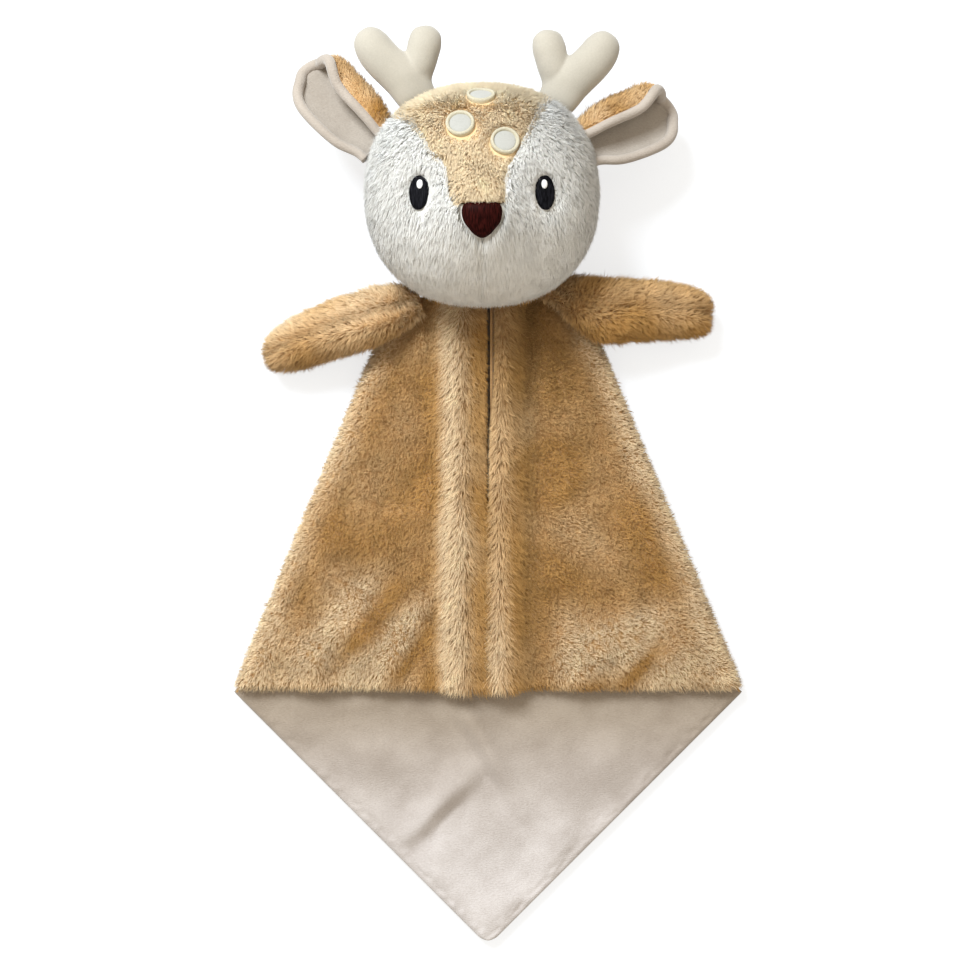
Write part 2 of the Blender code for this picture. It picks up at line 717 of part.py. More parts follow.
def face_piece(name, skin, centre, outline, finish, base=0, height=STITCH_HEIGHT, hole_share=0, rings=2):
    """A piece of embroidery on the head."""
    low = FACE_GAP + base
    piece = add_object(name, patch_mesh(skin, centre, outline, low, low + height, hole_share, rings), finish)
    piece.matrix_world = Matrix.Translation(HEAD_CENTRE)
    return piece


def build_head(tilt):
    """The head's panels, its stuffing and the embroidery of its face. Returns the head's skin for rays."""
    middle = Matrix.Translation(HEAD_CENTRE)
    half_gap = SEAM_GAP / 2
    seam_z = SIDE_SEAM_Z - HEAD_Z
    front = cutter("front_half", box_mesh((-REACH, -REACH, seam_z + half_gap), (REACH, REACH, REACH)), middle)
    back = cutter("back_half", box_mesh((-REACH, -REACH, -REACH), (REACH, REACH, seam_z - half_gap)), middle)
    left = cutter("left_half", box_mesh((-REACH, -REACH, -REACH), (-half_gap, REACH, REACH)), middle)
    right = cutter("right_half", box_mesh((half_gap, -REACH, -REACH), (REACH, REACH, REACH)), middle)
    blaze = cutter("blaze_inside", prism_mesh(blaze_outline(0), -REACH, REACH), middle)
    cheeks = cutter("blaze_outside", prism_mesh(blaze_outline(SEAM_GAP), -REACH, REACH), middle)
    socket_mesh = mesh_from(
        "socket",
        lambda work: bmesh.ops.create_cone(
            work, cap_ends=True, segments=40, radius1=NECK_SOCKET_RADIUS, radius2=NECK_SOCKET_RADIUS,
            depth=NECK_SOCKET_TOP + OVERRUN,
        ),
    )
    socket_place = Matrix.Translation((HEAD_X, NECK_Y, (NECK_SOCKET_TOP - OVERRUN) / 2))
    socket = cutter("neck_socket", socket_mesh, socket_place)

    keep, remove = "INTERSECT", "DIFFERENCE"
    pieces = [
        head_panel("head_blaze", "caramel_plush", [(front, keep), (blaze, keep)]),
        head_panel("head_cheek_left", "white_plush", [(front, keep), (left, keep), (cheeks, remove)]),
        head_panel("head_cheek_right", "white_plush", [(front, keep), (right, keep), (cheeks, remove)]),
        head_panel("head_back_left", "caramel_plush", [(back, keep), (left, keep), (socket, remove)]),
        head_panel("head_back_right", "caramel_plush", [(back, keep), (right, keep), (socket, remove)]),
    ]
    core = add_object("head_stuffing", head_form_mesh(CORE_SEGMENT_COUNT, CORE_RING_COUNT), "polyester_fill")
    core.matrix_world = middle
    swell(core, -HEAD_SKIN - 2 * STUFFING_GAP)
    cut(core, socket, remove)
    pieces.append(core)

    form = pieces[0].data
    skin = BVHTree.FromPolygons([vertex.co for vertex in form.vertices], [face.vertices for face in form.polygons])
    eye_x = EYE_SHARES[0] * HEAD_HALF_WIDTH
    eye_y = EYE_SHARES[1] * HEAD_HALF_LENGTH
    for side in (-1, 1):
        word = side_name(side)
        eye = face_direction(side * eye_x, eye_y)
        pieces.append(face_piece(f"eye_{word}", skin, eye, oval(EYE_HALF_WIDTH, EYE_HALF_HEIGHT), "black_thread"))
        glint = face_direction(side * (eye_x - GLINT_INWARD), eye_y + GLINT_RISE)
        pieces.append(
            face_piece(
                f"eye_{word}_glint", skin, glint, oval(GLINT_HALF_WIDTH, GLINT_HALF_HEIGHT), "white_thread",
                base=STITCH_HEIGHT + SEAM_GAP, height=STITCH_HEIGHT / 2, rings=1,
            )
        )
    nose = face_direction(0, NOSE_SHARE * HEAD_HALF_LENGTH)
    pieces.append(face_piece("nose", skin, nose, nose_outline, "brown_thread", height=NOSE_HEIGHT))
    for number, (wide, long) in enumerate(SPOT_SHARES, 1):
        spot = face_direction(wide * HEAD_HALF_WIDTH, long * HEAD_HALF_LENGTH)
        ring_share = (SPOT_RADIUS - SPOT_RING) / SPOT_RADIUS
        inner = SPOT_RADIUS - SPOT_RING - SEAM_GAP
        pieces.append(face_piece(f"spot_{number}", skin, spot, oval(inner, inner), "white_plush", rings=2))
        pieces.append(
            face_piece(
                f"spot_{number}_stitching", skin, spot, oval(SPOT_RADIUS, SPOT_RADIUS), "ivory_thread",
                height=SPOT_STITCH_HEIGHT, hole_share=ring_share, rings=2,
            )
        )
    for piece in pieces:
        hang(piece, tilt)
    return skin


# Neck

def build_neck(nod):
    """The gathered pad that joins the head to the blanket: rolls on the blanket, and the head turns on it."""
    disc_mesh = mesh_from(
        "disc",
        lambda work: bmesh.ops.create_cone(
            work, cap_ends=True, segments=40, radius1=NECK_DISC_RADIUS, radius2=NECK_DISC_RADIUS,
            depth=2 * NECK_RADIUS,
        ),
    )
    middle = Matrix.Translation((HEAD_X, NECK_Y, NECK_HEIGHT))
    pad = add_object("neck_pad", disc_mesh, "caramel_plush")
    pad.matrix_world = middle
    box = box_mesh((-REACH, 0, -REACH), (REACH, REACH, REACH))
    cut(pad, cutter("neck_head_side", box, middle), "INTERSECT")
    roll_mesh = mesh_from(
        "roll",
        lambda work: bmesh.ops.create_cone(
            work, cap_ends=True, segments=32, radius1=NECK_RADIUS, radius2=NECK_RADIUS,
            depth=2 * NECK_HALF_WIDTH,
        ),
    )
    cut(pad, cutter("neck_roll", roll_mesh, middle @ Matrix.Rotation(90 * DEG, 4, "Y")), "UNION")
    hang(pad, nod)


def on_head(shares):
    """An offset from the head's middle, from shares of its half sizes."""
    return Vector((shares[0] * HEAD_HALF_WIDTH, shares[1] * HEAD_HALF_LENGTH, shares[2] * HEAD_HALF_DEPTH))


# Ears

def blend(low, high, value):
    """A smooth step from 0 at low to 1 at high."""
    share = min(1, max(0, (value - low) / (high - low)))
    return share * share * (3 - 2 * share)


def ear_section(share):
    """The ear's section at a share of its length: (across, up, turn) at each column, from its lip to its curl.

    It is a line whose direction turns. It rises at the lower lip, runs flat, and curls over at the upper edge.
    """
    half = EAR_HALF_WIDTH * smooth_through(EAR_WIDTH_KEYS, share)
    curl = smooth_through(EAR_CURL_KEYS, share)
    count = int(EAR_ARC_COUNT)
    step = EAR_ARC_SHARE * half / count
    across, up = -half, 0
    line = []
    for k in range(count + 1):
        lip = -EAR_LIP * (1 - blend(0, EAR_LIP_END_SHARE, k / count))
        turn = lip + curl * blend(*EAR_CURL_SHARES, k / count)
        line.append((across, up, turn))
        across += math.cos(turn) * step
        up += math.sin(turn) * step
    lowest = min(up for across, up, turn in line)
    return [
        (across, up - lowest, turn)
        for across, up, turn in (line[round(column * count)] for column in EAR_COLUMN_SHARES)
    ]


def ear_sheet(side, skin, place):
    """The ear's middle surface as a grid of points along +X, and its normals. Its root is drawn to the head."""
    to_head = Matrix.Translation(HEAD_CENTRE).inverted() @ place
    inwards = to_head.to_3x3() @ Vector((-1, 0, 0))
    sheet = []
    for share in EAR_ROW_SHARES:
        row = []
        for across, up, turn in ear_section(share):
            y, z = side * across, up - EAR_BASE_DROP
            hit = skin.ray_cast(to_head @ Vector((EAR_LENGTH, y, z)), inwards)
            start = (EAR_LENGTH - hit[3] if hit[0] else 0) + EAR_ROOT_GAP + abs(z) * EAR_ROOT_SLANT
            point = Vector((start + (EAR_LENGTH - start) * share, y, z))
            row.append((point, Vector((0, -side * math.sin(turn), math.cos(turn)))))
        sheet.append(row)
    return sheet


def drawn_in(points, inset):
    """The same line of points with both ends moved inwards along it, by no more than half a step."""
    first_step = points[1] - points[0]
    last_step = points[-2] - points[-1]
    first = points[0] + first_step * min(inset / first_step.length, 0.5)
    last = points[-1] + last_step * min(inset / last_step.length, 0.5)
    return [first] + points[1:-1] + [last]


def ear_faces(side, lining, skin, place):
    """The under and upper grids of one ear's plush, thin at its root, or of the velour that lies in its hollow."""
    sheet = ear_sheet(side, skin, place)
    points = [[point for point, normal in row] for row in sheet]
    normals = [[normal for point, normal in row] for row in sheet]
    low, high = -EAR_PLUSH / 2, EAR_PLUSH / 2
    if lining:
        columns = [drawn_in(list(column), LINING_INSET) for column in zip(*points[:-1])]
        points = [drawn_in(list(row), LINING_INSET) for row in zip(*columns)]
        low = EAR_PLUSH / 2 + EAR_GAP
        high = low + EAR_LINING
    grids = ([], [])
    for number, row in enumerate(points):
        thin = EAR_ROOT_SHARE if number == 0 and not lining else 1
        for grid, lift in zip(grids, (low * thin, high * thin)):
            grid.append([point + normal * lift for point, normal in zip(row, normals[number])])
    return grids


def build_ears(tilt, skin):
    """Two ears folded lengthwise, plush outside and velour inside, each on a hinge at its root."""
    for side in (-1, 1):
        word = side_name(side)
        root, way = EAR_PLACES[side]
        along = Vector(way).normalized()
        place = frame_at(head_surface(on_head(root)), along, Vector((0, 0, 1)))
        hinge = pivot(f"ear_{word}_hinge", place @ Matrix.Translation((SEAM_GAP, 0, EAR_PLUSH / 2)))
        hang(hinge, tilt)
        for lining in (False, True):
            name = f"ear_{word}_lining" if lining else f"ear_{word}_plush"
            low, high = ear_faces(side, lining, skin, place)
            piece = sheet_solid(name, low, high, "cream_velour" if lining else "caramel_plush")
            piece.matrix_world = place
            hang(piece, hinge)


# Antlers

def antler_prong(side, keys, inset):
    """One prong of an antler as a tube, standing along +Y and leaning out to one side, drawn in by inset."""
    points = [Vector((side * x, y, 0)) * ANTLER_HEIGHT for x, y, wide, deep in keys]
    stations = []
    for index, (x, y, wide, deep) in enumerate(keys):
        direction = (points[min(index + 1, len(keys) - 1)] - points[max(index - 1, 0)]).normalized()
        centre = points[index]
        if index == 0:
            centre = centre + direction * inset
        elif index == len(keys) - 1:
            centre = centre - direction * inset
        elif inset and min((centre - points[0]).length, (centre - points[-1]).length) < inset * END_CLEAR:
            continue
        slim = LEAST_HALF_WIDTH - inset / 10
        half_width = max(wide * ANTLER_HEIGHT - inset, slim)
        stations.append((centre, direction, half_width, max(deep * ANTLER_HEIGHT - inset, slim)))
    return tube_mesh(stations, ANTLER_SEGMENT_COUNT)


def build_antlers(tilt):
    """Two soft forked antlers, each of a front and a back panel round its stuffing."""
    for side in (-1, 1):
        word = side_name(side)
        shares, turn = ANTLER_PLACES[side]
        root = on_head(shares)
        along = head_normal(root)
        lift = ANTLER_LIFT + abs(math.sin(turn)) * OUTER_PRONG[0][2] * ANTLER_HEIGHT
        upright = frame_at(head_surface(root) + along * lift, along, Vector((0, 0, 1)))
        place = upright @ Matrix.Rotation(turn - 90 * DEG, 4, "Z")
        bend = Matrix.Translation((0, ANTLER_ROOT_SHARE * ANTLER_HEIGHT, 0))
        hinge = pivot(f"antler_{word}_hinge", place @ bend)
        hang(hinge, tilt)
        inner = cutter(f"antler_{word}_prong", antler_prong(side, INNER_PRONG, 0), place)
        hollows = [
            cutter(f"antler_{word}_hollow", antler_prong(side, OUTER_PRONG, ANTLER_SKIN), place),
            cutter(f"antler_{word}_prong_hollow", antler_prong(side, INNER_PRONG, ANTLER_SKIN), place),
        ]
        core_inner = cutter(
            f"antler_{word}_prong_core", antler_prong(side, INNER_PRONG, ANTLER_SKIN + STUFFING_GAP), place
        )
        for panel, low, high in (("front", SEAM_GAP / 2, REACH), ("back", -REACH, -SEAM_GAP / 2)):
            piece = add_object(f"antler_{word}_{panel}", antler_prong(side, OUTER_PRONG, 0), "cream_velour")
            piece.matrix_world = place
            cut(piece, inner, "UNION")
            for hollow in hollows:
                cut(piece, hollow)
            box = box_mesh((-REACH, -REACH, low), (REACH, REACH, high))
            cut(piece, cutter(f"antler_{word}_{panel}_half", box, place), "INTERSECT")
            hang(piece, hinge)
        core = add_object(
            f"antler_{word}_stuffing", antler_prong(side, OUTER_PRONG, ANTLER_SKIN + STUFFING_GAP), "polyester_fill"
        )
        core.matrix_world = place
        cut(core, core_inner, "UNION")
        hang(core, hinge)


# Arms

def arm_form_mesh(side, inset=0):
    """A stuffed arm along +X, narrow where it is sewn in and round at its paw, drawn in all round by inset."""
    stations = []
    keys = ARM_KEYS[side]
    reach = ARM_LENGTH - ARM_ROOT_RADIUS
    ends = (ARM_ROOT_RADIUS + inset, ARM_ROOT_RADIUS + reach * keys[-1][0] - inset)
    for share, shift, wide, deep, height in keys:
        x = min(max(ARM_ROOT_RADIUS + reach * share, ends[0]), ends[1])
        if inset and 0 < share < keys[-1][0] and not ends[0] * END_CLEAR < x < ends[1] - inset:
            continue
        centre = Vector((x, side * shift * ARM_HALF_WIDTH, height - keys[0][4]))
        slim = LEAST_HALF_WIDTH - inset / 10
        half_width = max(ARM_HALF_WIDTH * wide - inset, slim)
        half_depth = max(ARM_HALF_DEPTH * deep - inset, slim)
        stations.append((centre, Vector((1, 0, 0)), half_width, half_depth))
    return tube_mesh(stations, ARM_SEGMENT_COUNT, ARM_SQUARENESS)


def build_arms():
    """Two arms, each of two plush panels sewn along the front and the back, on a hinge at its root."""
    for side in (-1, 1):
        word = side_name(side)
        across, down, turn = ARM_PLACES[side]
        x = HEAD_X + across * NECK_HALF_WIDTH
        y = BLANKET_TOP_Y - down * ARM_HALF_WIDTH
        place = Matrix.Translation((x, y, ARM_KEYS[side][0][4])) @ Matrix.Rotation(turn, 4, "Z")
        hinge = pivot(f"arm_{word}_hinge", place)
        hollow = cutter(f"arm_{word}_hollow", arm_form_mesh(side, ARM_SKIN), place)
        seam = ARM_SEAM_SHARES[side] * ARM_HALF_WIDTH
        for panel, low, high in (("upper", seam + SEAM_GAP / 2, REACH), ("lower", -REACH, seam - SEAM_GAP / 2)):
            if side < 0:
                low, high = -high, -low
            piece = add_object(f"arm_{word}_{panel}", arm_form_mesh(side), "caramel_plush")
            piece.matrix_world = place
            cut(piece, hollow)
            box = box_mesh((-REACH, low, -REACH), (REACH, high, REACH))
            cut(piece, cutter(f"arm_{word}_{panel}_half", box, place), "INTERSECT")
            hang(piece, hinge)
        core = add_object(f"arm_{word}_stuffing", arm_form_mesh(side, ARM_SKIN + STUFFING_GAP), "polyester_fill")
        core.matrix_world = place
        hang(core, hinge)


def build():
    """Builds the whole comfort blanket."""
    clear_scene()
    build_blanket()
    nod = pivot("neck_nod_hinge", Matrix.Translation((HEAD_X, NECK_Y, NECK_HEIGHT)))
    tilt = pivot("neck_tilt_hinge", Matrix.Translation((HEAD_X, NECK_Y, NECK_HEIGHT)))
    hang(tilt, nod)
    build_neck(nod)
    skin = build_head(tilt)
    build_ears(tilt, skin)
    build_antlers(tilt)
    build_arms()


build()
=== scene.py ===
"""Looks of the fawn comfort blanket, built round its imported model.

Every cloth is a closed sheet worked out on a grid of two parameters, and every plush pile is a mesh of
tapered fibres that stand on such a sheet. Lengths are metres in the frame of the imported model: +X is the
viewer's right, +Y points to the antlers and +Z is up out of the face.
"""
import logging
import math
from dataclasses import dataclass, field
from enum import Enum
from functools import lru_cache
from typing import Callable, Dict, List, Optional, Sequence, Tuple, Union

import bpy
import numpy as np
from mathutils import Matrix


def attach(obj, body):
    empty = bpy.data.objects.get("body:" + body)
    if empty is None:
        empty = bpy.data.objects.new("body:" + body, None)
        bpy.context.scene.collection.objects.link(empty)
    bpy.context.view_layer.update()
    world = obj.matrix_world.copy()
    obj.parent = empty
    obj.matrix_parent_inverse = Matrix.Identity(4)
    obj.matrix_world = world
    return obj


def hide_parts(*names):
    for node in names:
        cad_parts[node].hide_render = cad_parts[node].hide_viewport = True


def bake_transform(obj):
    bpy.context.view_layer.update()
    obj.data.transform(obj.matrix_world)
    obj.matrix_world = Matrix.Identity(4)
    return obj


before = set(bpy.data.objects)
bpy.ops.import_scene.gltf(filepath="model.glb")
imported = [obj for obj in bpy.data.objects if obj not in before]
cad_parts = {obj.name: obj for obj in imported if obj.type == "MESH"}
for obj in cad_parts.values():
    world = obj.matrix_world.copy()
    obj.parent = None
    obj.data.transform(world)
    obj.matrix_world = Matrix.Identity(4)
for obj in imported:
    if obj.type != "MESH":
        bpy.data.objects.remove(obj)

MM = 0.001
DEG = math.pi / 180
MERGE = 0.5e-6
# The tint attribute multiplies a cloth's colour: painted shade and painted light on the velour, besides its
# paler lower part.
TINT = "light_and_tone_tint"
UP = np.array((0.0, 0.0, 1.0))
SIDES = ((-1, "left"), (1, "right"))
Triple = Tuple[float, float, float]
Keys = Sequence[Tuple[float, ...]]
Faces = List[List[int]]
Array = np.ndarray
Outline = Callable[[Array], Tuple[Array, Array]]
PlaceField = Callable[[Array], Array]
RootField = Callable[["Roots"], Array]
Piece = bpy.types.Object
Graph = bpy.types.NodeTree
Socket = bpy.types.NodeSocket

log = logging.getLogger("comfort_blanket")


# Small tools

def unit(vectors: Array) -> Array:
    """Vectors of length one along the given ones."""
    return vectors / np.linalg.norm(vectors, axis=-1, keepdims=True).clip(1e-12)


def xyz(*parts: Array) -> Array:
    """Points from their coordinates, each an array or one number for all."""
    return np.stack(np.broadcast_arrays(*parts), axis=-1)


def full_turn(count: int) -> Array:
    """The angles of a full turn. The last is 0 again, so that the ends meet."""
    angles = np.linspace(0, 2 * math.pi, count)
    angles[-1] = 0
    return angles


def ease(low: float, high: float, value: Array) -> Array:
    """A smooth step from 0 at low to 1 at high."""
    share = np.clip((np.asarray(value) - low) / (high - low), 0, 1)
    return share * share * (3 - 2 * share)


def bell(distance: Array, width: float) -> Array:
    """A bell curve of a distance: 1 at nothing, and near 0 past two widths."""
    return np.exp(-(np.asarray(distance) / width) ** 2)


def squared(wave: Array, power: float) -> Array:
    """A sine or cosine raised to a power below 1, its sign kept: it makes a round section squarer."""
    return np.sign(wave) * np.abs(wave) ** power


def fall(distance: Array, radius: float) -> Array:
    """How far a rounded edge of this radius lies below its flat top, by the distance from the edge."""
    inside = radius - np.clip(distance, 0, radius)
    return radius - np.sqrt(np.maximum(radius ** 2 - inside ** 2, 0))


def through(keys: Keys, shares: Array) -> Array:
    """Smooth curves through rows of keys, whose first column is the share and the rest are values.

    Args:
        keys: rows of (share, value, ...), sorted by share.
        shares: where the curves are read.

    Returns:
        One row of values for each share, by Catmull and Rom's cubic between the keys.
    """
    table = np.array(keys, float)
    knots = table[:, 0]
    values = table[:, 1:]
    last = len(knots) - 1
    place = np.clip(np.searchsorted(knots, shares, side="right") - 1, 0, last - 1)
    t = ((shares - knots[place]) / (knots[place + 1] - knots[place]))[:, None]
    before = values[np.maximum(place - 1, 0)]
    start = values[place]
    end = values[place + 1]
    after = values[np.minimum(place + 2, last)]
    return 0.5 * (
        2 * start
        + (end - before) * t
        + (2 * before - 5 * start + 4 * end - after) * t ** 2
        + (3 * start - before - 3 * end + after) * t ** 3
    )


@dataclass(frozen=True)
class Waves:
    """A smooth irregular field: the sum of many plane waves of about one length, in every direction."""

    length: float
    seed: int
    height: float = 1.0
    count: int = 28

    def _parts(self) -> Tuple[Array, Array, Array]:
        """The waves' directions, wave numbers and phases."""
        rng = np.random.default_rng(self.seed)
        ways = unit(rng.normal(size=(self.count, 3)))
        numbers = 2 * math.pi / (self.length * rng.uniform(0.75, 1.5, self.count))
        return ways, numbers, rng.uniform(0, 2 * math.pi, self.count)

    def at(self, places: Array) -> Array:
        """The field's value at places: mostly within 1.5 heights of 0, which is its average."""
        ways, numbers, phases = self._parts()
        total = np.cos(places @ (ways * numbers[:, None]).T + phases).sum(axis=-1)
        return self.height * (total * math.sqrt(2 / self.count))

    def slope(self, places: Array) -> Array:
        """The field's uphill direction at places, of length about 1."""
        ways, numbers, phases = self._parts()
        swing = -np.sin(places @ (ways * numbers[:, None]).T + phases)
        return swing @ ways * math.sqrt(2 / self.count)


# Finishes

class Slot(Enum):
    """The record's material slots."""

    CARAMEL = "caramel_plush"
    WHITE = "white_plush"
    VELOUR = "cream_velour"
    BROWN = "brown_thread"
    BLACK = "black_thread"
    GLINT = "white_thread"
    IVORY = "ivory_thread"


@dataclass(frozen=True)
class PileFinish:
    """Cut polyester fibres, darker at the root than at the tip. Each fibre has its colour as an attribute."""

    name: str
    slot: Slot
    root: Triple
    tip: Triple
    variety: float = 0.09
    sheen: float = 0.25
    sheen_roughness: float = 0.4
    roughness: float = 0.75
    gloss: float = 0.3

    def material(self) -> bpy.types.Material:
        """The fibres' material."""
        made, shader, graph = new_material(self.name)
        colour = add_node(graph, "Attribute")
        colour.attribute_name = "pile_colour"
        graph.links.new(colour.outputs["Color"], shader.inputs["Base Color"])
        set_inputs(shader, Roughness=self.roughness, Specular_IOR_Level=self.gloss)
        set_inputs(shader, Sheen_Weight=self.sheen, Sheen_Roughness=self.sheen_roughness)
        return made


@dataclass(frozen=True)
class ClothFinish:
    """Short nap or backing cloth: two close tones in soft patches, a fine grain and a raised nap."""

    name: str
    slot: Slot
    light: Triple
    dark: Triple
    patch: float = 18 * MM
    grain: float = 0.7 * MM
    stretch: Triple = (1.0, 1.0, 1.0)
    grain_share: float = 0.45
    tones: Tuple[float, float] = (0.36, 0.62)
    relief: float = 0.25 * MM
    sheen: float = 0.5
    sheen_roughness: float = 0.5
    roughness: float = 0.85
    gloss: float = 0.2
    tinted: bool = False

    def material(self) -> bpy.types.Material:
        """The cloth's material, on Object coordinates. A tinted one also takes on its pieces' own tints."""
        made, shader, graph = new_material(self.name)
        place = add_node(graph, "TexCoord").outputs["Object"]
        patches = noise(graph, place, 1 / self.patch, 3, (1, 1, 1))
        grain = noise(graph, place, 1 / self.grain, 4, self.stretch)
        mixed = add_node(graph, "Mix", Factor=self.grain_share)
        graph.links.new(patches, mixed.inputs["A"])
        graph.links.new(grain, mixed.inputs["B"])
        colour = two_tones(graph, mixed.outputs["Result"], self)
        if self.tinted:
            colour = tinted(graph, colour)
        graph.links.new(colour, shader.inputs["Base Color"])
        raise_surface(graph, shader, grain, self.relief)
        set_inputs(shader, Roughness=self.roughness, Specular_IOR_Level=self.gloss)
        set_inputs(shader, Sheen_Weight=self.sheen, Sheen_Roughness=self.sheen_roughness)
        return made


@dataclass(frozen=True)
class ThreadFinish:
    """Satin stitches: close parallel threads with a soft gloss."""

    name: str
    slot: Slot
    light: Triple
    dark: Triple
    pitch: float = 0.45 * MM
    across: Triple = (1.0, 0.15, 0.15)
    tones: Tuple[float, float] = (0.38, 0.64)
    relief: float = 0.12 * MM
    roughness: float = 0.5
    gloss: float = 0.035

    def material(self) -> bpy.types.Material:
        """The stitches' material: noise drawn out along the threads."""
        made, shader, graph = new_material(self.name)
        place = add_node(graph, "TexCoord").outputs["Object"]
        threads = noise(graph, place, 1 / self.pitch, 2, self.across)
        colour = two_tones(graph, threads, self)
        graph.links.new(colour, shader.inputs["Base Color"])
        raise_surface(graph, shader, threads, self.relief)
        set_inputs(shader, Roughness=self.roughness, Specular_IOR_Level=self.gloss)
        return made


Toned = Union[ClothFinish, ThreadFinish]
Finish = Union[PileFinish, Toned]


def new_material(name: str) -> Tuple[bpy.types.Material, bpy.types.Node, Graph]:
    """A material with its Principled shader and its node tree."""
    made = bpy.data.materials.new(name)
    made.use_nodes = True
    return made, made.node_tree.nodes["Principled BSDF"], made.node_tree


def set_inputs(node: bpy.types.Node, **values: Union[float, tuple]) -> None:
    """Sets a node's inputs, whose names are written with _ for each space."""
    for name, value in values.items():
        node.inputs[name.replace("_", " ")].default_value = value


def add_node(graph: Graph, kind: str, **values: Union[float, tuple]) -> bpy.types.Node:
    """Adds a shader node of a kind, with these values for its inputs."""
    made = graph.nodes.new("ShaderNode" + kind)
    set_inputs(made, **values)
    return made


def two_tones(graph: Graph, value: Socket, finish: Toned) -> Socket:
    """The finish's colour by a value: dark up to the first of its tones, and light from the second."""
    ramp = add_node(graph, "ValToRGB")
    for element, position, colour in zip(ramp.color_ramp.elements, finish.tones, (finish.dark, finish.light)):
        element.position = position
        element.color = (*colour, 1)
    graph.links.new(value, ramp.inputs["Fac"])
    return ramp.outputs["Color"]


def noise(graph: Graph, place: Socket, scale: float, detail: float, stretch: Triple) -> Socket:
    """Adds a noise texture on a place and returns its value.

    Args:
        graph: the material's nodes.
        place: the coordinates it reads.
        scale: how many features there are in a metre.
        detail: how many finer octaves it has.
        stretch: how much closer the features are along each axis.

    Returns:
        The noise's value socket.
    """
    mapping = add_node(graph, "Mapping", Scale=stretch)
    graph.links.new(place, mapping.inputs["Vector"])
    texture = add_node(graph, "TexNoise", Scale=scale, Detail=detail)
    graph.links.new(mapping.outputs["Vector"], texture.inputs["Vector"])
    return texture.outputs["Fac"]


def tinted(graph: Graph, colour: Socket) -> Socket:
    """A colour multiplied by the piece's own tint attribute."""
    tint = add_node(graph, "Attribute")
    tint.attribute_name = TINT
    mixed = add_node(graph, "Mix", Factor=1)
    mixed.data_type = "RGBA"
    mixed.blend_type = "MULTIPLY"
    sockets = [socket for socket in mixed.inputs if socket.type == "RGBA"]
    graph.links.new(colour, sockets[0])
    graph.links.new(tint.outputs["Color"], sockets[1])
    return next(socket for socket in mixed.outputs if socket.type == "RGBA")


def give_tint(piece: Piece, tint: PlaceField) -> None:
    """Gives a piece its tint attribute. tint gives a factor for red, green and blue at each place."""
    count = len(piece.data.vertices)
    places = np.empty(count * 3, np.float32)
    piece.data.vertices.foreach_get("co", places)
    factors = np.broadcast_to(tint(places.reshape(-1, 3)), (count, 3))
    shades = piece.data.color_attributes.new(TINT, "FLOAT_COLOR", "POINT")
    rgba = np.concatenate([factors, np.ones((count, 1))], axis=1)
    shades.data.foreach_set("color", rgba.astype(np.float32).ravel())


def raise_surface(graph: Graph, shader: bpy.types.Node, height: Socket, depth: float) -> None:
    """Adds a bump of a depth in metres to a shader."""
    bump = add_node(graph, "Bump", Distance=depth, Strength=0.8)
    graph.links.new(height, bump.inputs["Height"])
    graph.links.new(bump.outputs["Normal"], shader.inputs["Normal"])


CREAM_TIP = (0.99, 0.80, 0.54)
CARAMEL_PILE = PileFinish(
    "caramel_pile", Slot.CARAMEL, root=(0.42, 0.195, 0.05), tip=(0.62, 0.36, 0.12), sheen=0.12
)
BLAZE_PILE = PileFinish(
    "blaze_pile", Slot.CARAMEL, root=(0.88, 0.67, 0.41), tip=(0.99, 0.83, 0.59), variety=0.04, sheen=0.15
)
WHITE_PILE = PileFinish(
    "white_pile", Slot.WHITE, root=(0.95, 0.94, 0.91), tip=(0.975, 0.97, 0.955), variety=0.02
)
CARAMEL_CLOTH = ClothFinish("caramel_cloth", Slot.CARAMEL, light=(0.66, 0.42, 0.19), dark=(0.50, 0.29, 0.12))
BLAZE_CLOTH = ClothFinish("blaze_cloth", Slot.CARAMEL, light=(0.84, 0.62, 0.36), dark=(0.76, 0.53, 0.29))
WHITE_CLOTH = ClothFinish("white_cloth", Slot.WHITE, light=(0.93, 0.915, 0.88), dark=(0.86, 0.845, 0.80))
CREAM_VELOUR = ClothFinish(
    "cream_velour_nap", Slot.VELOUR, light=(0.43, 0.37, 0.325), dark=(0.335, 0.28, 0.24),
    stretch=(0.6, 1.5, 1.0), relief=0.4 * MM, tinted=True,
)
ANTLER_VELOUR = ClothFinish(
    "antler_velour", Slot.VELOUR, light=(0.49, 0.455, 0.395), dark=(0.43, 0.40, 0.345), relief=0.1 * MM
)
SPOT_VELOUR = ClothFinish(
    "spot_velour", Slot.WHITE, light=(0.45, 0.45, 0.43), dark=(0.38, 0.38, 0.36), relief=0.1 * MM
)
BLACK_THREAD = ThreadFinish(
    "black_satin_stitch", Slot.BLACK, light=(0.012, 0.012, 0.016), dark=(0.002, 0.002, 0.003)
)
WHITE_THREAD = ThreadFinish(
    "white_satin_stitch", Slot.GLINT, light=(0.92, 0.92, 0.92), dark=(0.75, 0.75, 0.76)
)
IVORY_THREAD = ThreadFinish(
    "ivory_satin_stitch", Slot.IVORY, light=(0.58, 0.55, 0.45), dark=(0.46, 0.42, 0.31),
    across=(1.0, 1.0, 1.0),
)
BROWN_THREAD = ThreadFinish(
    "brown_satin_stitch", Slot.BROWN, light=(0.034, 0.005, 0.004), dark=(0.009, 0.0012, 0.001),
    across=(1.0, 0.12, 0.3),
)


@lru_cache(maxsize=None)
def material_of(finish: Finish) -> bpy.types.Material:
    """The finish's material, made once."""
    return finish.material()


def added(name: str, data: bpy.types.ID) -> Piece:
    """A new object of this data in the scene."""
    made = bpy.data.objects.new(name, data)
    bpy.context.scene.collection.objects.link(made)
    return made


def finished(name: str, mesh: bpy.types.Mesh, finish: Finish) -> Piece:
    """A piece of this mesh, with its finish."""
    mesh.materials.append(material_of(finish))
    made = added(name, mesh)
    return made


# Cloth surfaces

